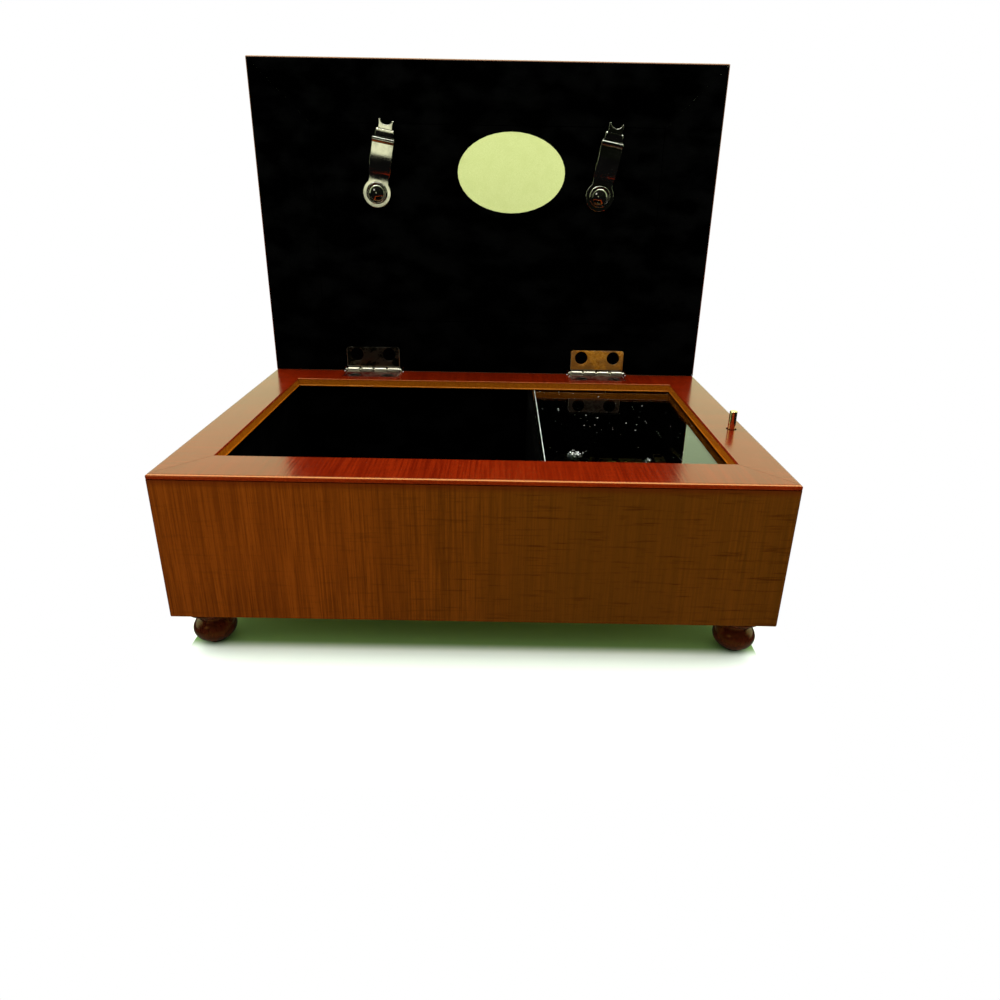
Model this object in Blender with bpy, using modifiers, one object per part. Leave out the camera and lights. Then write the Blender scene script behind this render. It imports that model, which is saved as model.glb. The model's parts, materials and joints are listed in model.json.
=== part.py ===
"""Musical jewelry box, standing open.

A lacquered wooden case on four turned feet holds a flocked jewelry compartment on the
left and, under a glass pane on the right, a small pinned-cylinder musical movement. The
lid is a mitred frame for a picture, closed from inside by a flocked panel that two
swivelling clips hold. A pin through the right rim, pressed down by the lid, stops the fly.

Metres, +Z up. +X is to the right of someone who faces the front, which looks along -Y.
The origin is on the table, under the middle of the open box.
"""

import bpy
import bmesh
from math import cos, hypot, pi, radians, sin, tau
from mathutils import Matrix, Vector

MM = 0.001

# General clearances
FIT = 0.3 * MM              # between pieces that rest on or slide past each other
MITRE_GAP = 0.1 * MM        # glue line of a mitre
RUN = 0.4 * MM              # beside anything that turns
OVERCUT = 1.0 * MM          # how far a cutter runs past the surface it opens

# Case
CASE_WIDTH = 205.0 * MM
CASE_DEPTH = 135.5 * MM
CASE_HEIGHT = 52.0 * MM     # without the feet
WALL = 12.0 * MM
CORNER_RADIUS = 1.0 * MM
EDGE_ROUND = 0.5 * MM
BASE_THICKNESS = 4.0 * MM
BASE_REBATE = 4.0 * MM

# Rim moulding, which covers the walls and lips over their inner faces
RIM_SIDE = 15.5 * MM
RIM_FRONT = 17.8 * MM       # front and back
RIM_SKIN = 1.5 * MM
RIM_NOSING = 1.2 * MM
LIP_DEPTH = 3.6 * MM
LIP_BEAD = 0.35 * MM

# Linings and glass
WELL_WIDTH = 80.1 * MM      # from the middle of the partition to the case's right side
LINER_WALL = 1.8 * MM
LINER_FLOOR = 1.2 * MM
GLASS_THICKNESS = 2.0 * MM

# Feet
FOOT_HEIGHT = 15.0 * MM
FOOT_INSET = 10.3 * MM
FOOT_FLANGE_RADIUS = 9.0 * MM
FOOT_FLANGE = 2.6 * MM
FOOT_NECK_RADIUS = 4.8 * MM
FOOT_BALL_RADIUS = 7.3 * MM
FOOT_BALL_HEIGHT = 10.6 * MM
FOOT_PAD_RADIUS = 3.4 * MM

# Lid
LID_THICKNESS = 15.7 * MM
LID_GAP = 0.3 * MM
LID_OPEN = radians(90.0)
LID_OUTER_ROUND = 4.0 * MM
LID_INNER_ROUND = 1.5 * MM
RAIL_SIGHT = 30.0 * MM      # from the lid's edge to the picture's edge
RAIL_RABBET = 5.0 * MM
RAIL_LIP = 4.0 * MM
PICTURE_GLASS = 2.0 * MM
PICTURE_CARD = 1.2 * MM

# Oval paper label inside the lid
LABEL_X = 10.9 * MM
LABEL_FROM_HINGE = 90.5 * MM
LABEL_WIDTH = 47.5 * MM
LABEL_HEIGHT = 33.4 * MM
LABEL_THICKNESS = 0.4 * MM
LABEL_GLUE = 0.1 * MM

# Swivelling clips that hold the panel
CLIP_X = 49.8 * MM
CLIP_MIDDLE = 0.8 * MM      # both clips sit a little to the right
CLIP_FROM_HINGE = 81.4 * MM
CLIP_TILT = radians(10.5)
CLIP_THICKNESS = 0.7 * MM
CLIP_EYE_RADIUS = 6.3 * MM
CLIP_NECK = 8.8 * MM
CLIP_GRIP_WIDTH = 9.7 * MM
CLIP_GRIP_LENGTH = 13.0 * MM
CLIP_GRIP_RISE = 1.1 * MM
CLIP_FORK_WIDTH = 6.6 * MM
CLIP_FORK_LENGTH = 7.6 * MM
CLIP_FORK_NOTCH = 2.5 * MM
CLIP_FORK_RISE = 0.3 * MM
CLIP_BEND = 1.3 * MM
RIVET_SHANK_RADIUS = 1.8 * MM
RIVET_HEAD_RADIUS = 4.7 * MM
RIVET_DOME_RADIUS = 3.9 * MM
RIVET_DOME = 1.5 * MM
RIVET_LENGTH = 5.0 * MM

# Hinges
HINGE_X = 54.5 * MM
HINGE_INSET = 0.7 * MM      # of the hinge's axis from the case's back
LEAF_LENGTH = 25.8 * MM
LEAF_WIDTH = 11.5 * MM      # from the hinge's axis
LEAF_THICKNESS = 1.2 * MM
LEAF_SET = 0.2 * MM         # a leaf's face below the wood around it
LEAF_CORNER = 1.0 * MM
BARREL_RADIUS = 1.6 * MM
KNUCKLES = 4
HINGE_PIN_RADIUS = 0.8 * MM
HINGE_PIN_HEAD = 1.25 * MM
HINGE_PIN_OVERHANG = 1.3 * MM
HINGE_SCREW_SPACING = 15.5 * MM
HINGE_SCREW_FROM_AXIS = 8.0 * MM
SCREW_HEAD_RADIUS = 2.7 * MM
SCREW_SHANK_RADIUS = 1.1 * MM
SCREW_LENGTH = 8.0 * MM

# Stop rod in the right wall
STOP_FROM_EDGE = 6.1 * MM
STOP_FROM_FRONT = 54.4 * MM
STOP_RADIUS = 1.4 * MM
STOP_BORE_RADIUS = 2.0 * MM
STOP_PROUD = 7.2 * MM
STOP_ARM_RADIUS = 0.8 * MM
STOP_TAIL = 3.0 * MM        # rod below its arm
STOP_SPRING_LENGTH = 17.0 * MM
STOP_SPRING_RADIUS = 1.3 * MM
STOP_SPRING_WIRE = 0.25 * MM
STOP_SPRING_TURNS = 8

# Musical movement
BARREL_FROM_SIDE = 62.0 * MM
CYLINDER_FROM_BACK = 41.5 * MM
BEDPLATE_THICKNESS = 3.0 * MM
CYLINDER_HEIGHT = 8.5 * MM  # axis above the bedplate
CYLINDER_RADIUS = 6.2 * MM
SHAFT_RADIUS = 0.8 * MM
POST = 1.4 * MM
CROWN_MODULE = 0.6 * MM
CROWN_TEETH = 32
DRIVE_TEETH = 20
DRIVE_FACE = 1.6 * MM
CROWN_RING = 2.0 * MM
CROWN_DISC = 1.2 * MM
DRUM_HEIGHT = 14.0 * MM
DRUM_RADIUS = 8.2 * MM
ARBOR_RADIUS = 2.0 * MM
SPUR_MODULE = 0.4 * MM
SPUR_TEETH = 30
PINION_TEETH = 10
SPUR_FACE = 1.2 * MM
TRAIN_ANGLE = radians(160.0)    # of the train arbor round the cylinder, from +Y towards +Z
WORM_WHEEL_TEETH = 16
WORM_WHEEL_FACE = 1.0 * MM
WORM_PITCH_RADIUS = 1.3 * MM
WORM_CORE_RADIUS = 0.75 * MM
WORM_THREAD_RADIUS = 0.3 * MM
WORM_TURNS = 5
FLY_RADIUS = 4.2 * MM
FLY_HEIGHT = 4.0 * MM
FLY_THICKNESS = 0.5 * MM

NOTES = 18
NOTE_PITCH = 1.0 * MM
COMB_SLOT = 0.35 * MM
COMB_THICKNESS = 1.0 * MM
COMB_REACH = 17.0 * MM      # from the tips to the comb's front edge
COMB_BASS_TOOTH = 12.0 * MM
COMB_TREBLE_TOOTH = 7.0 * MM
COMB_TIP_GAP = 0.3 * MM
COMB_SCREW_RADIUS = 2.0 * MM
MOVEMENT_SCREW_RADIUS = 2.2 * MM
PIN_HEIGHT = 0.45 * MM
PIN_WIDTH = 0.45 * MM
PINS_PER_NOTE = 4

# Winding key under the base
KEY_WIDTH = 22.0 * MM
KEY_HEIGHT = 8.0 * MM
KEY_THICKNESS = 2.2 * MM
KEY_BOSS_RADIUS = 3.6 * MM
KEY_BOSS_HEIGHT = 6.0 * MM
KEY_BASE_GAP = 1.0 * MM

# Tooth form, in modules
ADDENDUM = 0.9
DEDENDUM = 1.15
TOOTH_FILL = 0.78           # share of the nominal tooth thickness, the rest is backlash
FLANK_SLOPE = 0.364         # tangent of the pressure angle

# Places that follow from the sizes
CASE_FRONT = -(CASE_DEPTH - HINGE_INSET + LID_GAP / 2 + LID_THICKNESS) / 2
CASE_BACK = CASE_FRONT + CASE_DEPTH
CASE_MIDDLE = (CASE_FRONT + CASE_BACK) / 2
CASE_BOTTOM = FOOT_HEIGHT
RIM_TOP = CASE_BOTTOM + CASE_HEIGHT
WALL_TOP = RIM_TOP - RIM_SKIN - FIT
LIP_BOTTOM = RIM_TOP - LIP_DEPTH
BASE_TOP = CASE_BOTTOM + BASE_THICKNESS
GLASS_TOP = LIP_BOTTOM - FIT
GLASS_BOTTOM = GLASS_TOP - GLASS_THICKNESS
INNER_X = CASE_WIDTH / 2 - WALL - FIT
PARTITION_X = CASE_WIDTH / 2 - WELL_WIDTH
BARREL_X = CASE_WIDTH / 2 - BARREL_FROM_SIDE
INNER_FRONT = CASE_FRONT + WALL + FIT
INNER_BACK = CASE_BACK - WALL - FIT
AXIS_Y = CASE_BACK - HINGE_INSET
AXIS_Z = RIM_TOP + LID_GAP / 2
HINGE_BORE = BARREL_RADIUS + RUN

CYLINDER_Y = CASE_BACK - CYLINDER_FROM_BACK
BEDPLATE_BOTTOM = BASE_TOP + FIT
BEDPLATE_TOP = BEDPLATE_BOTTOM + BEDPLATE_THICKNESS
CYLINDER_Z = BEDPLATE_TOP + CYLINDER_HEIGHT
CYLINDER_LENGTH = NOTES * NOTE_PITCH + NOTE_PITCH
CROWN_RADIUS = CROWN_TEETH * CROWN_MODULE / 2
DRIVE_RADIUS = DRIVE_TEETH * CROWN_MODULE / 2
DRIVE_X = BARREL_X + CROWN_RADIUS
POST_A_X = DRIVE_X + (DRIVE_FACE + POST) / 2 + RUN
CYLINDER_X = POST_A_X + (POST + CYLINDER_LENGTH) / 2 + RUN
POST_B_X = CYLINDER_X + (CYLINDER_LENGTH + POST) / 2 + RUN
SPUR_X = POST_B_X + (POST + SPUR_FACE) / 2 + RUN
WORM_WHEEL_X = SPUR_X + (SPUR_FACE + WORM_WHEEL_FACE) / 2 + RUN
POST_C_X = WORM_WHEEL_X + (WORM_WHEEL_FACE + POST) / 2 + RUN
TRAIN_DISTANCE = (SPUR_TEETH + PINION_TEETH) * SPUR_MODULE / 2
TRAIN_Y = CYLINDER_Y + TRAIN_DISTANCE * cos(TRAIN_ANGLE)
TRAIN_Z = CYLINDER_Z + TRAIN_DISTANCE * sin(TRAIN_ANGLE)
WORM_WHEEL_RADIUS = WORM_WHEEL_TEETH * SPUR_MODULE / 2
WORM_Y = TRAIN_Y - WORM_WHEEL_RADIUS - WORM_PITCH_RADIUS
WORM_PITCH = pi * SPUR_MODULE
WORM_LENGTH = WORM_TURNS * WORM_PITCH
FLY_BOTTOM = TRAIN_Z + max(WORM_WHEEL_RADIUS + SPUR_MODULE, WORM_LENGTH / 2) + RUN
FLY_TOP = FLY_BOTTOM + FLY_HEIGHT
COMB_TIP_Y = CYLINDER_Y - CYLINDER_RADIUS - PIN_HEIGHT - COMB_TIP_GAP
COMB_FRONT_Y = COMB_TIP_Y - COMB_REACH
COMB_BOTTOM = CYLINDER_Z - COMB_THICKNESS / 2
COMB_SCREW_Y = COMB_FRONT_Y + (COMB_REACH - COMB_BASS_TOOTH) / 2
STOP_X = CASE_WIDTH / 2 - STOP_FROM_EDGE
STOP_Y = CASE_FRONT + STOP_FROM_FRONT
STOP_ARM_Z = (FLY_BOTTOM + FLY_TOP) / 2 + STOP_PROUD
STOP_BOTTOM = STOP_ARM_Z - STOP_TAIL
STOP_SEAT = STOP_BOTTOM - STOP_SPRING_LENGTH - 2 * FIT

# Prism directions: an outline's x and y, and the way it is extruded
ACROSS_X = Matrix(((0, 0, 1, 0), (1, 0, 0, 0), (0, 1, 0, 0), (0, 0, 0, 1)))   # to Y, Z, along X
ACROSS_Y = Matrix.Rotation(pi / 2, 4, "X")                                    # to X, Z, along Y
UPRIGHT = Matrix.Identity(4)                                                  # to X, Y, along Z


def remove_old_objects():
    for obj in list(bpy.data.objects):
        bpy.data.objects.remove(obj, do_unlink=True)


def new_collection(name):
    collection = bpy.data.collections.new(name)
    bpy.context.scene.collection.children.link(collection)
    return collection


def new_material(name, colour, roughness, metallic=0.0, alpha=1.0):
    material = bpy.data.materials.new(name)
    material.use_nodes = True
    shader = material.node_tree.nodes["Principled BSDF"]
    shader.inputs["Base Color"].default_value = (*colour, 1.0)
    shader.inputs["Roughness"].default_value = roughness
    shader.inputs["Metallic"].default_value = metallic
    shader.inputs["Alpha"].default_value = alpha
    return material


remove_old_objects()
PARTS = new_collection("musical_jewelry_box")
CUTTERS = new_collection("cutters")

LACQUER = new_material("lacquered_walnut", (0.15, 0.045, 0.012), 0.12)
TURNED_WOOD = new_material("turned_foot_wood", (0.11, 0.025, 0.008), 0.15)
PLYWOOD = new_material("plywood", (0.45, 0.30, 0.16), 0.7)
FLOCK = new_material("black_flock", (0.006, 0.006, 0.007), 0.95)
NICKEL = new_material("nickel_plate", (0.75, 0.73, 0.68), 0.15, 1.0)
BLACK_STEEL = new_material("blackened_steel", (0.02, 0.02, 0.022), 0.45, 0.8)
BRASS = new_material("brass", (0.80, 0.58, 0.22), 0.25, 1.0)
STEEL = new_material("comb_steel", (0.56, 0.57, 0.58), 0.25, 1.0)
ZINC = new_material("cast_zinc", (0.50, 0.50, 0.50), 0.4, 1.0)
GLASS = new_material("glass", (0.85, 0.92, 0.88), 0.02, 0.0, 0.25)
PAPER = new_material("label_paper", (0.62, 0.66, 0.27), 0.6)
CARD = new_material("picture_card", (0.80, 0.76, 0.66), 0.8)


# Basic shapes

def arc(centre_x, centre_y, radius, start, end, steps):
    """Points of an arc, in degrees, both ends included."""
    angles = [radians(start + (end - start) * i / steps) for i in range(steps + 1)]
    return [(centre_x + radius * cos(a), centre_y + radius * sin(a)) for a in angles]


def circle(centre_x, centre_y, radius, steps):
    return arc(centre_x, centre_y, radius, 0, 360 - 360 / steps, steps - 1)


def rounded_rectangle(x0, y0, x1, y1, radius, steps=3):
    return (arc(x1 - radius, y0 + radius, radius, -90, 0, steps)
            + arc(x1 - radius, y1 - radius, radius, 0, 90, steps)
            + arc(x0 + radius, y1 - radius, radius, 90, 180, steps)
            + arc(x0 + radius, y0 + radius, radius, 180, 270, steps))


def mesh_of_curve(curve):
    """Turn a curve drawn in millimetres into a welded mesh in metres.

    Blender fills and joins curves with limits made for large scenes, so small outlines
    are drawn a thousand times larger first.
    """
    holder = bpy.data.objects.new(curve.name, curve)
    bpy.context.scene.collection.objects.link(holder)
    bpy.context.view_layer.update()
    depsgraph = bpy.context.evaluated_depsgraph_get()
    mesh = bpy.data.meshes.new_from_object(holder.evaluated_get(depsgraph))
    bpy.data.objects.remove(holder, do_unlink=True)
    bpy.data.curves.remove(curve)
    shape = bmesh.new()
    shape.from_mesh(mesh)
    bmesh.ops.remove_doubles(shape, verts=shape.verts, dist=0.001)
    bmesh.ops.scale(shape, vec=(MM, MM, MM), verts=shape.verts)
    bmesh.ops.recalc_face_normals(shape, faces=shape.faces)
    shape.to_mesh(mesh)
    shape.free()
    return mesh


def prism(name, outline, low, high, direction=UPRIGHT, holes=()):
    """A flat outline, with any holes, extruded from low to high along its direction."""
    curve = bpy.data.curves.new(name, "CURVE")
    curve.dimensions = "2D"
    curve.fill_mode = "BOTH"
    curve.extrude = (high - low) / 2 / MM
    for loop in (outline, *holes):
        spline = curve.splines.new("POLY")
        spline.points.add(len(loop) - 1)
        spline.use_cyclic_u = True
        for point, (x, y) in zip(spline.points, loop):
            point.co = (x / MM, y / MM, 0.0, 1.0)
    mesh = mesh_of_curve(curve)
    mesh.transform(direction @ Matrix.Translation((0.0, 0.0, (low + high) / 2)))
    return mesh


def prism_along_y(name, outline, low, high, holes=()):
    """As prism, with the outline in X and Z and its thickness from low to high in Y."""
    return prism(name, outline, -high, -low, ACROSS_Y, holes)


def tube(name, points, radius, sides_step):
    curve = bpy.data.curves.new(name, "CURVE")
    curve.dimensions = "3D"
    curve.bevel_depth = radius / MM
    curve.bevel_resolution = sides_step
    curve.use_fill_caps = True
    spline = curve.splines.new("POLY")
    spline.points.add(len(points) - 1)
    for point, place in zip(spline.points, points):
        point.co = (*(value / MM for value in place), 1.0)
    return mesh_of_curve(curve)


def helix(centre, radius, pitch, turns, steps, phase=0.0):
    """Points of a right-handed helix that rises from centre."""
    points = []
    for i in range(turns * steps + 1):
        angle = phase + tau * i / steps
        points.append((centre[0] + radius * cos(angle), centre[1] + radius * sin(angle),
                       centre[2] + pitch * i / steps))
    return points


def box_mesh(name, boxes):
    """One mesh of separate boxes, each given by its low and high corner."""
    shape = bmesh.new()
    for low, high in boxes:
        low, high = Vector(low), Vector(high)
        matrix = Matrix.Translation((low + high) / 2) @ Matrix.Diagonal((*(high - low), 1.0))
        bmesh.ops.create_cube(shape, size=1.0, matrix=matrix)
    mesh = bpy.data.meshes.new(name)
    shape.to_mesh(mesh)
    shape.free()
    return mesh


def rod_mesh(name, rods, segments=16):
    """One mesh of separate rods, each given by its ends and its radius at each end."""
    shape = bmesh.new()
    for start, end, start_radius, end_radius in rods:
        start, end = Vector(start), Vector(end)
        middle = (start + end) / 2
        along = (end - start).normalized()
        half_step = Matrix.Rotation(pi / segments, 4, "Z")
        turn = along.to_track_quat("Z", "X").to_matrix().to_4x4() @ half_step
        rod = bmesh.ops.create_cone(shape, cap_ends=True, segments=segments, radius1=start_radius,
                                    radius2=end_radius, depth=(end - start).length,
                                    matrix=Matrix.Translation(middle) @ turn)
        # The ends lie exactly on their planes, so that what is flush with them joins without slivers
        for vert in rod["verts"]:
            near = end if (vert.co - middle).dot(along) > 0.0 else start
            vert.co -= along * (vert.co - near).dot(along)
    mesh = bpy.data.meshes.new(name)
    shape.to_mesh(mesh)
    shape.free()
    return mesh


def gear_outline(teeth, module, phase):
    """A spur gear with straight flanks and a tooth centred on the phase angle."""
    pitch_radius = teeth * module / 2
    tip_radius = pitch_radius + ADDENDUM * module
    root_radius = pitch_radius - DEDENDUM * module
    half = TOOTH_FILL * pi * module / 4
    tip_angle = (half - ADDENDUM * module * FLANK_SLOPE) / tip_radius
    root_angle = (half + DEDENDUM * module * FLANK_SLOPE) / root_radius
    points = []
    for i in range(teeth):
        middle = phase + tau * i / teeth
        for radius, angle in ((root_radius, -root_angle), (tip_radius, -tip_angle),
                              (tip_radius, tip_angle), (root_radius, root_angle)):
            points.append((radius * cos(middle + angle), radius * sin(middle + angle)))
    return points


# Objects

def add_part(name, mesh, material, location=(0.0, 0.0, 0.0), rotation=0.0, parent=None):
    part = bpy.data.objects.new(name, mesh)
    PARTS.objects.link(part)
    mesh.name = name
    mesh.materials.clear()
    mesh.materials.append(material)
    mesh.shade_smooth()
    mesh.set_sharp_from_angle(angle=radians(35.0))
    part.location = location
    part.rotation_euler.z = rotation
    part.parent = parent
    return part


def add_turned(name, profile, material, location=(0.0, 0.0, 0.0), rotation=(0.0, 0.0, 0.0),
               parent=None, steps=24):
    """A turned piece from (radius, height) points that run down its outer side."""
    mesh = bpy.data.meshes.new(name)
    mesh.from_pydata([(radius, 0.0, height) for radius, height in profile],
                     [(i, i + 1) for i in range(len(profile) - 1)], [])
    part = bpy.data.objects.new(name, mesh)
    PARTS.objects.link(part)
    mesh.materials.append(material)
    screw = part.modifiers.new("turn", "SCREW")
    screw.steps = steps
    screw.render_steps = steps
    screw.use_merge_vertices = True
    screw.merge_threshold = 0.00001
    screw.use_smooth_shade = True
    part.location = location
    part.rotation_euler = rotation
    part.parent = parent
    return part


def add_cutter(name, mesh, location=(0.0, 0.0, 0.0), rotation=0.0, parent=None):
    cutter = bpy.data.objects.new(name, mesh)
    CUTTERS.objects.link(cutter)
    cutter.location = location
    cutter.rotation_euler.z = rotation
    cutter.parent = parent
    cutter.hide_render = True
    cutter.display_type = "WIRE"
    return cutter


def combine(part, cutter, operation="DIFFERENCE"):
    modifier = part.modifiers.new(cutter.name, "BOOLEAN")
    modifier.object = cutter
    modifier.operation = operation
    modifier.solver = "EXACT"


def add_empty(name, location, rotation=(0.0, 0.0, 0.0), parent=None):
    empty = bpy.data.objects.new(name, None)
    PARTS.objects.link(empty)
    empty.empty_display_size = 0.01
    empty.location = location
    empty.rotation_euler = rotation
    empty.parent = parent
    return empty


# Mitred frames

def frame_strip(name, profile, length, start_slope=1.0, end_slope=1.0):
    """One side of a mitred frame, along X with its outer face on y = 0.

    The profile is (distance inward, height). A slope is how much shorter the strip gets
    for each unit inward: 1 for a square mitre.
    """
    mesh = prism(name, profile, -length / 2, length / 2, ACROSS_X)
    shape = bmesh.new()
    shape.from_mesh(mesh)
    for side, slope in ((-1, start_slope), (1, end_slope)):
        normal = Vector((side, slope, 0.0)).normalized()
        point = Vector((side * length / 2, 0.0, 0.0)) - normal * MITRE_GAP / 2
        everything = shape.verts[:] + shape.edges[:] + shape.faces[:]
        cut = bmesh.ops.bisect_plane(shape, geom=everything, dist=1e-8, plane_co=point,
                                     plane_no=normal, clear_outer=True)
        rim = [item for item in cut["geom_cut"] if isinstance(item, bmesh.types.BMEdge)]
        bmesh.ops.edgeloop_fill(shape, edges=rim)
    bmesh.ops.recalc_face_normals(shape, faces=shape.faces)
    shape.to_mesh(mesh)
    shape.free()
    return mesh


def frame_place(side, middle_y, low_z=0.0):
    """Where a strip goes: side 0 is the front, then right, back and left."""
    turn = side * pi / 2
    reach = CASE_DEPTH / 2 if side % 2 == 0 else CASE_WIDTH / 2
    return (reach * sin(turn), middle_y - reach * cos(turn), low_z), turn


def frame_length(side):
    return CASE_WIDTH if side % 2 == 0 else CASE_DEPTH


def corner_spandrels(name, middle_y, low, high, parent=None):
    """Cutters that round the four upright corners of a box-sized frame."""
    shape = bmesh.new()
    radius = CORNER_RADIUS
    for side_x in (-1, 1):
        for side_y in (-1, 1):
            x = side_x * (CASE_WIDTH / 2 - radius)
            y = middle_y + side_y * (CASE_DEPTH / 2 - radius)
            far = radius + OVERCUT
            outline = [(x + side_x * px, y + side_y * py) for px, py in
                       arc(0.0, 0.0, radius, 0, 90, 4) + [(0.0, far), (far, far), (far, 0.0)]]
            shape.from_mesh(prism(name, outline, low, high))
    mesh = bpy.data.meshes.new(name)
    shape.to_mesh(mesh)
    shape.free()
    return add_cutter(name, mesh, parent=parent)


SIDES = ("front", "right", "back", "left")


# Case

def rim_width(side):
    return RIM_FRONT if side % 2 == 0 else RIM_SIDE


def wall_profile():
    inner_low = BASE_TOP + FIT
    return ([(EDGE_ROUND, CASE_BOTTOM), (WALL - BASE_REBATE, CASE_BOTTOM),
             (WALL - BASE_REBATE, inner_low), (WALL, inner_low), (WALL, WALL_TOP),
             (0.0, WALL_TOP)]
            + arc(EDGE_ROUND, CASE_BOTTOM + EDGE_ROUND, EDGE_ROUND, 180, 270, 2)[:-1])


def rim_profile(width):
    """Skin over the wall, rounded outside, with a beaded lip down its inner face."""
    skin_bottom = RIM_TOP - RIM_SKIN
    bead_middle = LIP_BOTTOM + LIP_BEAD
    inner_round = RIM_NOSING / 2
    return ([(0.0, skin_bottom)]
            + [(WALL + FIT, skin_bottom), (WALL + FIT, LIP_BOTTOM), (width, LIP_BOTTOM)]
            + arc(width, bead_middle, LIP_BEAD, -60, 60, 3)
            + [(width, bead_middle + LIP_BEAD)]
            + arc(width - inner_round, RIM_TOP - inner_round, inner_round, 0, 90, 3)
            + arc(RIM_NOSING, RIM_TOP - RIM_NOSING, RIM_NOSING, 90, 180, 4))


def mitre_slopes(side):
    """Rim mitres run from corner to corner of strips that differ in width."""
    width = rim_width(side)
    before, after = rim_width((side - 1) % 4), rim_width((side + 1) % 4)
    return before / width, after / width


def build_case():
    spandrels = corner_spandrels("corner_spandrels", CASE_MIDDLE, CASE_BOTTOM - OVERCUT,
                                 RIM_TOP + OVERCUT)
    strips = {}
    for side, side_name in enumerate(SIDES):
        place, turn = frame_place(side, CASE_MIDDLE)
        wall = frame_strip(side_name + "_wall", wall_profile(), frame_length(side))
        strips[side_name + "_wall"] = add_part(side_name + "_wall", wall, LACQUER, place, turn)
        rim_name = "rim_" + side_name
        rim = frame_strip(rim_name, rim_profile(rim_width(side)), frame_length(side),
                          *mitre_slopes(side))
        strips[rim_name] = add_part(rim_name, rim, LACQUER, place, turn)
    for strip in strips.values():
        combine(strip, spandrels)
    # The front and back lips are wider than the side ones, so their ends stop short of the side walls
    top = RIM_TOP - RIM_SKIN + FIT / 4
    far = CASE_WIDTH / 2 + OVERCUT
    shoulders = box_mesh("lip_shoulders", [
        ((-far, CASE_FRONT + WALL, LIP_BOTTOM - OVERCUT), (-INNER_X, CASE_BACK - WALL, top)),
        ((INNER_X, CASE_FRONT + WALL, LIP_BOTTOM - OVERCUT), (far, CASE_BACK - WALL, top))])
    for rim_name in ("rim_front", "rim_back"):
        combine(strips[rim_name], add_cutter(rim_name + "_lip_shoulders", shoulders))
    return strips


def build_base(holes):
    reach_x = CASE_WIDTH / 2 - WALL + BASE_REBATE - FIT
    reach_y = CASE_DEPTH / 2 - WALL + BASE_REBATE - FIT
    outline = rounded_rectangle(-reach_x, CASE_MIDDLE - reach_y, reach_x, CASE_MIDDLE + reach_y,
                                EDGE_ROUND, 2)
    add_part("base_board", prism("base_board", outline, CASE_BOTTOM, BASE_TOP, holes=holes), PLYWOOD)


def foot_profile():
    """Flange, neck and flattened ball, with the floor at height 0."""
    top = FOOT_HEIGHT - FIT
    flange_round = FOOT_FLANGE / 3
    flange_bottom = top - FOOT_FLANGE
    ball_middle = FOOT_BALL_HEIGHT / 2
    squash = ball_middle / FOOT_BALL_RADIUS
    upper = [(radius, ball_middle + height * squash)
             for radius, height in arc(0.0, 0.0, FOOT_BALL_RADIUS, 50, -60, 8)]
    return ([(0.0, top), (FOOT_FLANGE_RADIUS - flange_round, top)]
            + arc(FOOT_FLANGE_RADIUS - flange_round, flange_bottom + FOOT_FLANGE / 2,
                  flange_round, 60, -60, 3)
            + [(FOOT_NECK_RADIUS + flange_round, flange_bottom), (FOOT_NECK_RADIUS, flange_bottom - flange_round / 2)]
            + upper + [(FOOT_PAD_RADIUS, 0.0), (0.0, 0.0)])


def build_feet():
    x = CASE_WIDTH / 2 - FOOT_INSET
    y = CASE_DEPTH / 2 - FOOT_INSET
    for row, side_y in (("front", -1), ("back", 1)):
        for column, side_x in (("left", -1), ("right", 1)):
            add_turned("foot_" + row + "_" + column, foot_profile(), TURNED_WOOD,
                       (side_x * x, CASE_MIDDLE + side_y * y, 0.0), steps=20)


# Linings and glass

def open_box(name, low, high, floor):
    """A lining: a box with no top, LINER_WALL thick with the given floor."""
    inner_low = (low[0] + LINER_WALL, low[1] + LINER_WALL, low[2] + floor)
    inner_high = (high[0] - LINER_WALL, high[1] - LINER_WALL, high[2] + OVERCUT)
    liner = add_part(name, box_mesh(name, [(low, high)]), FLOCK)
    combine(liner, add_cutter(name + "_space", box_mesh(name + "_space", [(inner_low, inner_high)])))
    return liner


def build_linings(bedplate_low, bedplate_high):
    open_box("compartment_liner", (-INNER_X, INNER_FRONT, BASE_TOP + FIT),
             (PARTITION_X - FIT / 2, INNER_BACK, GLASS_TOP), LINER_FLOOR)
    well = open_box("well_liner", (PARTITION_X + FIT / 2, INNER_FRONT, BASE_TOP + FIT),
                    (INNER_X, INNER_BACK, GLASS_BOTTOM - FIT), LINER_FLOOR)
    window = add_cutter("bedplate_window", box_mesh("bedplate_window", [
        ((bedplate_low[0] - FIT, bedplate_low[1] - FIT, BASE_TOP - OVERCUT),
         (bedplate_high[0] + FIT, bedplate_high[1] + FIT, BASE_TOP + FIT + LINER_FLOOR + OVERCUT)),
    ]))
    combine(well, window)
    pane = rounded_rectangle(PARTITION_X + FIT, INNER_FRONT, INNER_X, INNER_BACK, EDGE_ROUND, 2)
    add_part("glass_pane", prism("glass_pane", pane, GLASS_BOTTOM, GLASS_TOP), GLASS)
    return well


# Hinges

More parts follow.
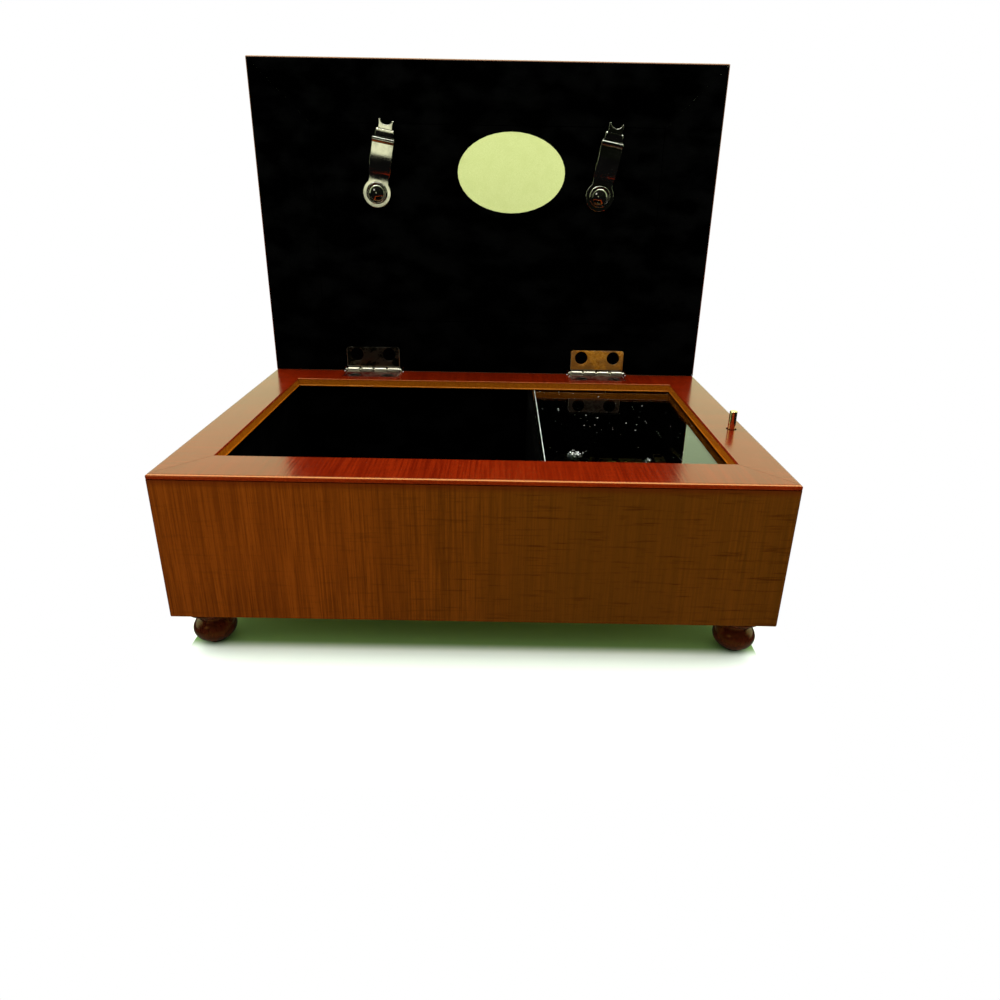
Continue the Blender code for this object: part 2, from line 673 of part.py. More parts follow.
def leaf_outline(first_knuckle):
    """A leaf seen from above, hinge axis on y = 0 and the leaf towards -Y."""
    clear = -(BARREL_RADIUS + RUN)
    pitch = LEAF_LENGTH / KNUCKLES
    inner_edge = []
    for k in range(first_knuckle, KNUCKLES, 2):
        start = -LEAF_LENGTH / 2 + k * pitch + FIT / 2
        end = start + pitch - FIT
        inner_edge += [(start, clear), (start, 0.0), (end, 0.0), (end, clear)]
    left, right = -LEAF_LENGTH / 2 + FIT / 2, LEAF_LENGTH / 2 - FIT / 2
    if first_knuckle:
        inner_edge.insert(0, (left, clear))
    else:
        inner_edge.append((right, clear))
    return (inner_edge
            + arc(right - LEAF_CORNER, -LEAF_WIDTH + LEAF_CORNER, LEAF_CORNER, 0, -90, 2)
            + arc(left + LEAF_CORNER, -LEAF_WIDTH + LEAF_CORNER, LEAF_CORNER, -90, -180, 2))


def build_leaf(name, hinge_x, first_knuckle, face, parent):
    """A leaf below the axis (face -1, in the case) or above it (face 1, in the lid)."""
    near = LID_GAP / 2 + LEAF_SET
    low, high = sorted((face * near, face * (near + LEAF_THICKNESS)))
    leaf = add_part(name, prism(name, leaf_outline(first_knuckle), low, high), NICKEL,
                    (hinge_x, 0.0, 0.0), parent=parent)
    pitch = LEAF_LENGTH / KNUCKLES
    knuckles = []
    for k in range(first_knuckle, KNUCKLES, 2):
        start = -LEAF_LENGTH / 2 + k * pitch + FIT / 2
        knuckles.append(((start, 0, 0), (start + pitch - FIT, 0, 0), BARREL_RADIUS, BARREL_RADIUS))
    place = (hinge_x, 0.0, 0.0)
    combine(leaf, add_cutter(name + "_knuckles", rod_mesh(name, knuckles), place, 0.0, parent), "UNION")
    reach = LEAF_LENGTH / 2 + OVERCUT
    bore_radius = HINGE_PIN_RADIUS + FIT
    bore = rod_mesh(name, [((-reach, 0, 0), (reach, 0, 0), bore_radius, bore_radius)], 12)
    combine(leaf, add_cutter(name + "_bore", bore, place, 0.0, parent))
    sinks = []
    top = face * near
    depth = face * LEAF_THICKNESS
    for side in (-1, 1):
        x, y = side * HINGE_SCREW_SPACING / 2, -HINGE_SCREW_FROM_AXIS
        slope = (SCREW_HEAD_RADIUS - SCREW_SHANK_RADIUS) / LEAF_THICKNESS
        wide = SCREW_HEAD_RADIUS + FIT + slope * FIT / 2
        sinks.append(((x, y, top - depth / 2), (x, y, top + depth * 3 / 2),
                      wide + slope * LEAF_THICKNESS / 2, wide - slope * LEAF_THICKNESS * 3 / 2))
    combine(leaf, add_cutter(name + "_sinks", rod_mesh(name, sinks), place, 0.0, parent))
    return leaf


def screw_profile(head_radius, head_height, shank_radius, length):
    """A countersunk screw, its face at height 0 and its point down."""
    return [(0.0, 0.0), (head_radius, 0.0), (shank_radius, -head_height),
            (shank_radius, -length + shank_radius), (0.0, -length)]


def build_hinge(label, hinge_x, hinge_axis, lid_axis, case_strips, lid_rail):
    name = "hinge_" + label
    build_leaf(name + "_case_leaf", hinge_x, 0, -1, hinge_axis)
    build_leaf(name + "_lid_leaf", hinge_x, 1, 1, lid_axis)
    reach = LEAF_LENGTH / 2 + HINGE_PIN_OVERHANG
    head = LEAF_LENGTH / 2 + FIT / 2
    add_turned(name + "_pin", [(0.0, reach), (HINGE_PIN_HEAD * 0.7, reach - 0.2 * MM),
                               (HINGE_PIN_HEAD, head + 0.5 * MM), (HINGE_PIN_HEAD, head),
                               (HINGE_PIN_RADIUS, head), (HINGE_PIN_RADIUS, -head),
                               (HINGE_PIN_HEAD, -head), (HINGE_PIN_HEAD, -head - 0.5 * MM),
                               (HINGE_PIN_HEAD * 0.7, -reach + 0.2 * MM), (0.0, -reach)],
               NICKEL, (hinge_x, 0.0, 0.0), (0.0, pi / 2, 0.0), hinge_axis, 12)
    face = LID_GAP / 2 + LEAF_SET
    pilots = []
    for index, side in enumerate((-1, 1), start=1):
        x = hinge_x + side * HINGE_SCREW_SPACING / 2
        profile = screw_profile(SCREW_HEAD_RADIUS, LEAF_THICKNESS, SCREW_SHANK_RADIUS, SCREW_LENGTH)
        y = -HINGE_SCREW_FROM_AXIS
        add_turned(name + "_case_screw_" + str(index), profile, BLACK_STEEL,
                   (x, y, -face - FIT / 2), (0.0, 0.0, 0.0), hinge_axis, 12)
        add_turned(name + "_lid_screw_" + str(index), profile, BLACK_STEEL,
                   (x, y, face + FIT / 2), (pi, 0.0, 0.0), lid_axis, 12)
        depth = face + SCREW_LENGTH + 3 * FIT
        radius = SCREW_SHANK_RADIUS + FIT
        pilots.append(((x, y, -depth), (x, y, depth), radius, radius))
    case_pilots = add_cutter(name + "_case_pilots", rod_mesh(name, pilots, 12), parent=hinge_axis)
    lid_pilots = add_cutter(name + "_lid_pilots", rod_mesh(name, pilots, 12), parent=lid_axis)
    length = LEAF_LENGTH / 2 + HINGE_PIN_OVERHANG + FIT
    groove = [((hinge_x - length, 0, 0), (hinge_x + length, 0, 0), HINGE_BORE, HINGE_BORE)]
    pocket_depth = face + LEAF_THICKNESS + FIT
    wide = LEAF_LENGTH / 2 + FIT
    pocket = [((hinge_x - wide, -LEAF_WIDTH - FIT, -pocket_depth),
               (hinge_x + wide, HINGE_INSET + OVERCUT, pocket_depth))]
    for piece, axis, pilot in ((case_strips["rim_back"], hinge_axis, case_pilots),
                               (case_strips["back_wall"], hinge_axis, case_pilots),
                               (lid_rail, lid_axis, lid_pilots)):
        label_here = name + "_" + piece.name
        combine(piece, add_cutter(label_here + "_groove", rod_mesh(name, groove, 20), parent=axis))
        if piece.name != "back_wall":
            combine(piece, add_cutter(label_here + "_pocket", box_mesh(name, pocket), parent=axis))
        if piece.name != "rim_back":
            combine(piece, pilot)


# Lid, drawn closed in the frame of its hinge axis, with the front towards -Y

def rail_profile():
    """Picture-frame rail: inner face at height 0, moulded outside, rabbet for the picture."""
    top = LID_THICKNESS
    small = 0.8 * MM
    rabbet = RAIL_SIGHT - RAIL_RABBET
    return (arc(LID_INNER_ROUND, LID_INNER_ROUND, LID_INNER_ROUND, 180, 270, 3)
            + [(rabbet, 0.0), (rabbet, top - RAIL_LIP), (RAIL_SIGHT, top - RAIL_LIP)]
            + [(RAIL_SIGHT, top - small), (RAIL_SIGHT - small, top)]
            + arc(LID_OUTER_ROUND, top - LID_OUTER_ROUND, LID_OUTER_ROUND, 90, 180, 5))


def build_lid(lid_axis):
    middle = HINGE_INSET - CASE_DEPTH / 2
    low = LID_GAP / 2
    spandrels = corner_spandrels("lid_corner_spandrels", middle, low - OVERCUT,
                                 low + LID_THICKNESS + OVERCUT, lid_axis)
    rails = {}
    for side, side_name in enumerate(SIDES):
        place, turn = frame_place(side, middle, low)
        name = "lid_rail_" + side_name
        mesh = frame_strip(name, rail_profile(), frame_length(side))
        rails[side_name] = add_part(name, mesh, LACQUER, place, turn, lid_axis)
        combine(rails[side_name], spandrels)
    reach_x = CASE_WIDTH / 2 - RAIL_SIGHT + RAIL_RABBET - FIT
    reach_y = CASE_DEPTH / 2 - RAIL_SIGHT + RAIL_RABBET - FIT
    glass_top = low + LID_THICKNESS - RAIL_LIP - FIT
    card_top = glass_top - PICTURE_GLASS - FIT
    panel_top = card_top - PICTURE_CARD - FIT
    for name, bottom, top, material in (
            ("picture_glass", glass_top - PICTURE_GLASS, glass_top, GLASS),
            ("picture_card", card_top - PICTURE_CARD, card_top, CARD),
            ("lid_panel", low, panel_top, FLOCK)):
        outline = rounded_rectangle(-reach_x, middle - reach_y, reach_x, middle + reach_y, EDGE_ROUND, 2)
        holes = []
        if name == "lid_panel":
            holes = [circle(CLIP_MIDDLE + side * CLIP_X, -CLIP_FROM_HINGE, RIVET_SHANK_RADIUS + FIT, 12)
                     for side in (-1, 1)]
        add_part(name, prism(name, outline, bottom, top, holes=holes), material, parent=lid_axis)
    label = [(LABEL_WIDTH / 2 * x, LABEL_HEIGHT / 2 * y) for x, y in circle(0.0, 0.0, 1.0, 40)]
    add_part("oval_label", prism("oval_label", label, -LABEL_GLUE - LABEL_THICKNESS, -LABEL_GLUE),
             PAPER, (LABEL_X, -LABEL_FROM_HINGE, low), parent=lid_axis)
    return rails


def clip_rise(length):
    """Height of the bent clip above its eye, at a distance from the rivet."""
    grip = CLIP_EYE_RADIUS + CLIP_BEND / 2
    fork = grip + CLIP_BEND + CLIP_GRIP_LENGTH
    bends = [(grip, 0.0), (grip + CLIP_BEND, CLIP_GRIP_RISE), (fork, CLIP_GRIP_RISE),
             (fork + CLIP_BEND, CLIP_FORK_RISE)]
    if length <= bends[0][0]:
        return bends[0][1]
    for (start, low), (end, high) in zip(bends, bends[1:]):
        if length <= end:
            return low + (high - low) * (length - start) / (end - start)
    return bends[-1][1]


def clip_outline():
    """Eye round the rivet, neck, thumb grip and forked tongue, pointing along +Y."""
    neck, grip, fork = CLIP_NECK / 2, CLIP_GRIP_WIDTH / 2, CLIP_FORK_WIDTH / 2
    grip_start = CLIP_EYE_RADIUS + CLIP_BEND / 2
    grip_end = grip_start + 2 * CLIP_BEND + CLIP_GRIP_LENGTH
    tip = grip_end + CLIP_FORK_LENGTH
    shoulder = (CLIP_EYE_RADIUS ** 2 - neck ** 2) ** 0.5
    eye = [(CLIP_EYE_RADIUS * sin(a), -CLIP_EYE_RADIUS * cos(a)) for a in
           (radians(-180 + 47 + i * (360 - 94) / 14) for i in range(15))]
    eye = [point for point in eye if point[1] < shoulder]
    notch = [(x, tip - y) for x, y in arc(0.0, 0.0, CLIP_FORK_NOTCH, 0, 180, 5)]
    right = [(neck, shoulder), (neck, grip_start), (grip, grip_start + CLIP_BEND),
             (grip, grip_end - CLIP_BEND), (fork + 0.5 * MM, grip_end),
             (fork - 0.4 * MM, (grip_end + tip) / 2), (fork, tip)]
    left = [(-x, y) for x, y in reversed(right)]
    return eye + right + notch + left


def bend_clip(mesh):
    """Split the flat clip along its four bend lines and lift it to its section."""
    shape = bmesh.new()
    shape.from_mesh(mesh)
    grip = CLIP_EYE_RADIUS + CLIP_BEND / 2
    fork = grip + CLIP_BEND + CLIP_GRIP_LENGTH
    for line in (grip, grip + CLIP_BEND, fork, fork + CLIP_BEND):
        everything = shape.verts[:] + shape.edges[:] + shape.faces[:]
        bmesh.ops.bisect_plane(shape, geom=everything, dist=1e-8, plane_co=(0.0, line, 0.0),
                               plane_no=(0.0, 1.0, 0.0))
    for vert in shape.verts:
        vert.co.z += clip_rise(vert.co.y)
    shape.to_mesh(mesh)
    shape.free()


def build_clip(label, side, lid_axis):
    low = LID_GAP / 2
    pivot = add_empty("clip_" + label + "_axis", (CLIP_MIDDLE + side * CLIP_X, -CLIP_FROM_HINGE, low),
                      (pi, 0.0, 0.0), lid_axis)
    name = "clip_" + label
    hole = circle(0.0, 0.0, RIVET_SHANK_RADIUS + FIT, 12)
    mesh = prism(name, clip_outline(), FIT, FIT + CLIP_THICKNESS, holes=[hole])
    bend_clip(mesh)
    add_part(name, mesh, NICKEL, rotation=-CLIP_TILT, parent=pivot)
    seat = 2 * FIT + CLIP_THICKNESS
    flange = 0.5 * MM
    dome = [(RIVET_DOME_RADIUS * cos(radians(a)), seat + flange + RIVET_DOME * sin(radians(a)))
            for a in (90, 65, 40, 15)]
    dome[0] = (0.0, seat + flange + RIVET_DOME)
    add_turned("rivet_" + label, dome + [
        (RIVET_DOME_RADIUS, seat + flange), (RIVET_HEAD_RADIUS, seat + flange),
        (RIVET_HEAD_RADIUS, seat), (RIVET_SHANK_RADIUS, seat),
        (RIVET_SHANK_RADIUS, seat - RIVET_LENGTH), (0.0, seat - RIVET_LENGTH)],
        NICKEL, parent=pivot, steps=20)


# Musical movement

def at_x(x):
    """Move a mesh drawn across X, round the origin, to the cylinder's line."""
    return (x, CYLINDER_Y, CYLINDER_Z)


def build_bedplate():
    margin = CROWN_RADIUS + 2 * CROWN_RING
    low = (BARREL_X - margin, COMB_FRONT_Y - FIT, BEDPLATE_BOTTOM)
    high = (POST_C_X + POST, CYLINDER_Y + margin, BEDPLATE_TOP)
    plate = rounded_rectangle(low[0], low[1], high[0], high[1], 2.0 * MM)
    bedplate = add_part("movement_bedplate", prism("movement_bedplate", plate, low[2], high[2]), ZINC)
    sunk = BEDPLATE_TOP - BEDPLATE_THICKNESS / 2
    half = POST / 2
    shaft_top = TRAIN_Z + 2 * SHAFT_RADIUS + FIT
    posts = box_mesh("bedplate_posts", [
        ((POST_A_X - half, CYLINDER_Y - 3 * MM, sunk),
         (POST_A_X + half, CYLINDER_Y + 3 * MM, CYLINDER_Z + 3 * SHAFT_RADIUS)),
        ((POST_B_X - half, TRAIN_Y - 3 * SHAFT_RADIUS, sunk),
         (POST_B_X + half, CYLINDER_Y + 3 * MM, shaft_top)),
        ((POST_C_X - half, TRAIN_Y - 2.5 * SHAFT_RADIUS, sunk),
         (POST_C_X + half, TRAIN_Y + 2.5 * SHAFT_RADIUS, shaft_top)),
        ((CYLINDER_X - CYLINDER_LENGTH / 2, COMB_FRONT_Y, sunk),
         (CYLINDER_X + CYLINDER_LENGTH / 2, COMB_TIP_Y - COMB_BASS_TOOTH, COMB_BOTTOM - FIT)),
    ])
    combine(bedplate, add_cutter("bedplate_posts", posts), "UNION")
    bore = SHAFT_RADIUS + FIT
    train_bore = 0.5 * MM + FIT
    bores = rod_mesh("bedplate_bores", [
        ((POST_A_X - POST, CYLINDER_Y, CYLINDER_Z), (POST_A_X + POST, CYLINDER_Y, CYLINDER_Z), bore, bore),
        ((POST_B_X - POST, CYLINDER_Y, CYLINDER_Z), (POST_B_X + POST, CYLINDER_Y, CYLINDER_Z), bore, bore),
        ((POST_B_X - POST, TRAIN_Y, TRAIN_Z), (POST_B_X + POST, TRAIN_Y, TRAIN_Z), train_bore, train_bore),
        ((POST_C_X - POST, TRAIN_Y, TRAIN_Z), (POST_C_X + POST, TRAIN_Y, TRAIN_Z), train_bore, train_bore),
    ], 12)
    combine(bedplate, add_cutter("bedplate_bores", bores))
    return bedplate, low, high


def build_comb():
    """Steel comb: one tooth a note, longest in the bass, tips just short of the pins."""
    width = NOTES * NOTE_PITCH
    left = -width / 2
    depth = COMB_REACH
    outline = [(left, -depth), (-left, -depth), (-left, -COMB_SLOT)]
    outline = [(left - COMB_SLOT, -depth), (-left + COMB_SLOT, -depth), (-left + COMB_SLOT, -COMB_TREBLE_TOOTH)]
    for note in reversed(range(NOTES)):
        share = note / (NOTES - 1)
        root = COMB_BASS_TOOTH + (COMB_TREBLE_TOOTH - COMB_BASS_TOOTH) * share
        start = left + note * NOTE_PITCH + COMB_SLOT / 2
        end = start + NOTE_PITCH - COMB_SLOT
        outline += [(end, -root), (end, 0.0), (start, 0.0), (start, -root)]
    outline.append((left - COMB_SLOT, -COMB_BASS_TOOTH))
    spread = width / 4
    screw_y = COMB_SCREW_Y - COMB_TIP_Y
    holes = [circle(side * spread, screw_y, COMB_SCREW_RADIUS / 2 + FIT, 12) for side in (-1, 1)]
    comb = prism("comb", outline, 0.0, COMB_THICKNESS, holes=holes)
    add_part("comb", comb, STEEL, (CYLINDER_X, COMB_TIP_Y, COMB_BOTTOM))
    return spread


def add_cap_screw(name, x, y, seat, head_radius, head_height, length):
    """A cheese-head screw whose head stands on the seat."""
    shank = head_radius / 2
    add_turned(name, [(0.0, head_height), (head_radius - 0.2 * MM, head_height),
                      (head_radius, head_height - 0.2 * MM), (head_radius, 0.0), (shank, 0.0),
                      (shank, -length), (0.0, -length)], STEEL, (x, y, seat), steps=16)


def build_cylinder(axis):
    """Pinned brass cylinder with its shaft, drive gear and spur gear."""
    half = CYLINDER_LENGTH / 2
    start, end = CYLINDER_X - half, CYLINDER_X + half
    r = CYLINDER_RADIUS
    drum = add_part("pinned_cylinder", rod_mesh("pinned_cylinder", [
        ((start - CYLINDER_X, 0, 0), (end - CYLINDER_X, 0, 0), r, r)], 36), BRASS, (CYLINDER_X, 0.0, 0.0),
        parent=axis)
    shape = bmesh.new()
    for note in range(NOTES):
        x = (note - (NOTES - 1) / 2) * NOTE_PITCH
        for beat in range(PINS_PER_NOTE):
            turn = tau * ((note * 5 + beat * 9) % 36 + 0.5) / 36
            matrix = (Matrix.Translation((x, 0.0, 0.0)) @ Matrix.Rotation(turn, 4, "X")
                      @ Matrix.Translation((0.0, 0.0, r)))
            bmesh.ops.create_cone(shape, cap_ends=True, segments=4, radius1=PIN_WIDTH / 2,
                                  radius2=PIN_WIDTH / 3, depth=2 * PIN_HEIGHT, matrix=matrix)
    pins = bpy.data.meshes.new("cylinder_pins")
    shape.to_mesh(pins)
    shape.free()
    combine(drum, add_cutter("cylinder_pins", pins, (CYLINDER_X, 0.0, 0.0), parent=axis), "UNION")
    reach = SHAFT_RADIUS
    shaft = rod_mesh("cylinder_shaft", [
        ((DRIVE_X - DRIVE_FACE / 2 - reach / 2 - CYLINDER_X, 0, 0),
         (SPUR_X + SPUR_FACE / 2 + reach / 4 - CYLINDER_X, 0, 0), reach, reach)], 12)
    combine(drum, add_cutter("cylinder_shaft", shaft, (CYLINDER_X, 0.0, 0.0), parent=axis), "UNION")
    for name, teeth, module, x, face, phase in (
            ("drive_gear", DRIVE_TEETH, CROWN_MODULE, DRIVE_X, DRIVE_FACE, -pi / 2),
            ("spur_gear", SPUR_TEETH, SPUR_MODULE, SPUR_X, SPUR_FACE, TRAIN_ANGLE)):
        gear = prism(name, gear_outline(teeth, module, phase), -face / 2, face / 2, ACROSS_X)
        combine(drum, add_cutter(name, gear, (x, 0.0, 0.0), parent=axis), "UNION")


def build_crown(axis):
    """Crown wheel: a ring with upright teeth that drive the cylinder's gear."""
    pitch_z = CYLINDER_HEIGHT - DRIVE_RADIUS
    root = pitch_z - 1.3 * CROWN_MODULE
    tip = pitch_z + 0.75 * CROWN_MODULE
    low = root - CROWN_DISC
    inner, outer = CROWN_RADIUS - CROWN_RING / 2, CROWN_RADIUS + CROWN_RING / 2
    shape = bmesh.new()
    tooth_share = 0.36
    step = tau / CROWN_TEETH
    for i in range(CROWN_TEETH):
        middle = step * (i + 0.5)
        for start, end, is_tooth in ((middle - step * tooth_share / 2, middle + step * tooth_share / 2, True),
                                     (middle + step * tooth_share / 2,
                                      middle + step * (1 - tooth_share / 2), False)):
            corners = []
            for radius, angle in ((inner, start), (outer, start), (outer, end), (inner, end)):
                corners.append(shape.verts.new((radius * cos(angle), radius * sin(angle), root)))
            face = shape.faces.new(corners)
            face.select = is_tooth
    bmesh.ops.remove_doubles(shape, verts=shape.verts, dist=1e-6)
    teeth = [face for face in shape.faces if face.select]
    body = bmesh.ops.extrude_face_region(shape, geom=shape.faces[:], use_keep_orig=True)
    bmesh.ops.translate(shape, vec=(0.0, 0.0, low - root),
                        verts=[item for item in body["geom"] if isinstance(item, bmesh.types.BMVert)])
    raised = bmesh.ops.extrude_discrete_faces(shape, faces=teeth)["faces"]
    for face in raised:
        centre = face.calc_center_median()
        outward = Vector((centre.x, centre.y, 0.0)).normalized()
        around = Vector((-outward.y, outward.x, 0.0))
        for vert in face.verts:
            vert.co -= around * (vert.co - centre).dot(around) * 0.4
            vert.co.z = tip
    bmesh.ops.recalc_face_normals(shape, faces=shape.faces)
    mesh = bpy.data.meshes.new("crown_wheel")
    shape.to_mesh(mesh)
    shape.free()
    add_part("crown_wheel", mesh, BRASS, parent=axis)
    return inner


def build_barrel(axis, crown_inner):
    """Spring barrel: a drum in the crown wheel, with a domed lid and a bore for the arbor."""
    bore = ARBOR_RADIUS + FIT
    low = FIT
    top = low + DRUM_HEIGHT
    radius = min(DRUM_RADIUS, crown_inner - FIT)
    edge = 0.8 * MM
    add_turned("spring_barrel", [
        (bore, top + edge), (bore + 2 * edge, top + edge), (bore + 2 * edge, top),
        (radius - edge, top), (radius, top - edge), (radius, low), (bore, low),
        (bore, top + edge)], BRASS, parent=axis, steps=32)


def build_arbor_and_key(axis):
    top = BEDPLATE_TOP + DRUM_HEIGHT + 2.0 * MM
    key_top = CASE_BOTTOM - KEY_BASE_GAP
    key_low = key_top - KEY_BOSS_HEIGHT
    socket = key_top - KEY_BOSS_HEIGHT * 0.7
    origin_z = BEDPLATE_TOP
    add_turned("winding_arbor", [
        (0.0, top - origin_z), (ARBOR_RADIUS - 0.3 * MM, top - origin_z),
        (ARBOR_RADIUS, top - 0.3 * MM - origin_z), (ARBOR_RADIUS, socket + FIT - origin_z),
        (0.0, socket + FIT - origin_z)], STEEL, parent=axis, steps=16)
    boss = rod_mesh("winding_key", [
        ((0, 0, key_low - origin_z), (0, 0, key_top - origin_z), KEY_BOSS_RADIUS, KEY_BOSS_RADIUS)], 20)
    key = add_part("winding_key", boss, NICKEL, parent=axis)
    lobe = KEY_HEIGHT / 2
    wing_top = key_low + KEY_BOSS_HEIGHT / 3 - origin_z
    middle = wing_top - lobe
    reach = KEY_WIDTH / 2 - lobe
    outline = ([(-reach, wing_top), (-reach * 0.45, wing_top - lobe * 0.3), (reach * 0.45, wing_top - lobe * 0.3)]
               + arc(reach, middle, lobe, 90, -90, 8)
               + [(reach * 0.45, wing_top - lobe * 1.6), (-reach * 0.45, wing_top - lobe * 1.6)]
               + arc(-reach, middle, lobe, 270, 90, 8)[:-1])
    holes = [circle(side * reach, middle, lobe * 0.4, 12) for side in (-1, 1)]
    wing = prism_along_y("key_wing", outline, -KEY_THICKNESS / 2, KEY_THICKNESS / 2, holes)
    combine(key, add_cutter("key_wing", wing, parent=axis), "UNION")
    bore = ARBOR_RADIUS + FIT
    combine(key, add_cutter("key_socket", rod_mesh("key_socket", [
        ((0, 0, socket - origin_z), (0, 0, key_top + OVERCUT - origin_z), bore, bore)], 16), parent=axis))


def build_train(axis):
    """Train arbor: a pinion in the spur gear and the wheel that turns the worm."""
    arbor = 0.5 * MM
    start = POST_B_X - POST / 2
    end = POST_C_X + POST / 2
    train = add_part("train_wheel", rod_mesh("train_wheel", [
        ((start - SPUR_X, 0, 0), (end - SPUR_X, 0, 0), arbor, arbor)], 12), BRASS, (SPUR_X, 0.0, 0.0),
        parent=axis)
    gap_to_spur = TRAIN_ANGLE + pi + pi / PINION_TEETH
    gap_to_worm = pi + pi / WORM_WHEEL_TEETH
    for name, teeth, x, face, phase in (
            ("train_pinion", PINION_TEETH, SPUR_X, SPUR_FACE, gap_to_spur),
            ("worm_wheel", WORM_WHEEL_TEETH, WORM_WHEEL_X, WORM_WHEEL_FACE, gap_to_worm)):
        gear = prism(name, gear_outline(teeth, SPUR_MODULE, phase), -face / 2, face / 2, ACROSS_X)
        combine(train, add_cutter(name, gear, (x, 0.0, 0.0), parent=axis), "UNION")


def build_governor(axis):
    """Upright worm with the fly that the air brakes, all in one."""
    thread_radius = WORM_CORE_RADIUS + WORM_THREAD_RADIUS * 0.8
    half = WORM_LENGTH / 2
    spindle = 0.5 * MM
    low = TRAIN_Z - half - 2.0 * MM
    high = FLY_TOP + 1.2 * MM
    governor = add_part("governor_fly", rod_mesh("governor_fly", [
        ((0, 0, low - TRAIN_Z), (0, 0, high - TRAIN_Z), spindle, spindle)], 12), BRASS, parent=axis)
    core = rod_mesh("worm_core", [((0, 0, -half - RUN), (0, 0, FLY_TOP - RUN - TRAIN_Z),
                                   WORM_CORE_RADIUS, WORM_CORE_RADIUS)], 12)
    combine(governor, add_cutter("worm_core", core, parent=axis), "UNION")
    steps = 10
    phase = pi / 2 - pi * WORM_TURNS
    thread = tube("worm_thread", helix((0.0, 0.0, -half), thread_radius, WORM_PITCH, WORM_TURNS, steps, phase),
                  WORM_THREAD_RADIUS, 1)
    combine(governor, add_cutter("worm_thread", thread, parent=axis), "UNION")
    thick = FLY_THICKNESS / 2
    blades = box_mesh("fly_blades", [((-thick, -FLY_RADIUS, FLY_BOTTOM - TRAIN_Z),
                                      (thick, FLY_RADIUS, FLY_TOP - TRAIN_Z))])
    combine(governor, add_cutter("fly_blades", blades, parent=axis), "UNION")
    return low, high


def build_governor_bracket(low, high):
    """C-shaped cock that holds both ends of the governor."""
    arm = 1.2 * MM
    half = 2.0 * MM
    back = WORM_Y + 1.6 * MM
    post_back = WORM_Y - FLY_RADIUS - RUN
    post_front = post_back - 1.6 * MM
    top = high + FIT + arm / 2
    shelf_top = low + arm / 2 + FIT
    outline = [(post_front, BEDPLATE_TOP + FIT), (post_back, BEDPLATE_TOP + FIT),
               (post_back, shelf_top - arm), (back, shelf_top - arm), (back, shelf_top),
               (post_back, shelf_top), (post_back, top - arm), (back, top - arm), (back, top),
               (post_front, top)]
    x = WORM_WHEEL_X
    bracket = add_part("governor_bracket", prism("governor_bracket", outline, x - half, x + half, ACROSS_X), BRASS)
    pivot = 0.5 * MM + FIT
    holes = rod_mesh("governor_pivots", [
        ((x, WORM_Y, low - 2 * arm), (x, WORM_Y, shelf_top + OVERCUT), pivot, pivot),
        ((x, WORM_Y, top - arm - OVERCUT), (x, WORM_Y, top + OVERCUT), pivot, pivot)], 12)
    combine(bracket, add_cutter("governor_pivots", holes))


def build_stop(strips, well):
    """Stop rod: pressed by the closed lid, it lowers its arm to the fly."""
    top = RIM_TOP + STOP_PROUD
    axis = add_empty("stop_rod_axis", (STOP_X, STOP_Y, STOP_ARM_Z))
    rounding = 0.5 * MM
    tip, foot = top - STOP_ARM_Z, STOP_BOTTOM - STOP_ARM_Z
    rod = add_turned("stop_rod", [(0.0, tip), (STOP_RADIUS - rounding, tip),
                                  (STOP_RADIUS - rounding * 0.3, tip - rounding * 0.3),
                                  (STOP_RADIUS, tip - rounding), (STOP_RADIUS, foot), (0.0, foot)],
                     NICKEL, parent=axis, steps=16)
    worm_x = WORM_WHEEL_X - STOP_X
    worm_y = WORM_Y - STOP_Y
    inside = INNER_X - LINER_WALL - 2.0 * MM - STOP_X
    beside_fly = worm_x + FLY_RADIUS + RUN + STOP_ARM_RADIUS
    arm = tube("stop_arm", [(0.0, 0.0, 0.0), (inside, 0.0, 0.0), (beside_fly, worm_y, 0.0)],
               STOP_ARM_RADIUS, 2)
    combine(rod, add_cutter("stop_arm", arm, parent=axis), "UNION")
    bore = add_cutter("stop_bore", rod_mesh("stop_bore", [
        ((STOP_X, STOP_Y, STOP_SEAT), (STOP_X, STOP_Y, RIM_TOP + OVERCUT), STOP_BORE_RADIUS,
         STOP_BORE_RADIUS)], 20))
    half = STOP_ARM_RADIUS + FIT
    slot = add_cutter("stop_slot", box_mesh("stop_slot", [
        ((INNER_X - LINER_WALL - OVERCUT, STOP_Y - half, STOP_ARM_Z - STOP_PROUD - half),
         (STOP_X, STOP_Y + half, STOP_ARM_Z + half))]))
    combine(strips["right_wall"], bore)
    combine(strips["right_wall"], slot)
    combine(strips["rim_right"], bore)
    combine(well, slot)
    radius = STOP_SPRING_RADIUS
    steps = 10
    length = STOP_SPRING_LENGTH - 2 * STOP_SPRING_WIRE
    coil = tube("stop_spring", helix((0.0, 0.0, STOP_SPRING_WIRE), radius, length / STOP_SPRING_TURNS,
                                     STOP_SPRING_TURNS, steps), STOP_SPRING_WIRE, 1)
    add_part("stop_spring", coil, STEEL, (STOP_X, STOP_Y, STOP_SEAT + FIT))


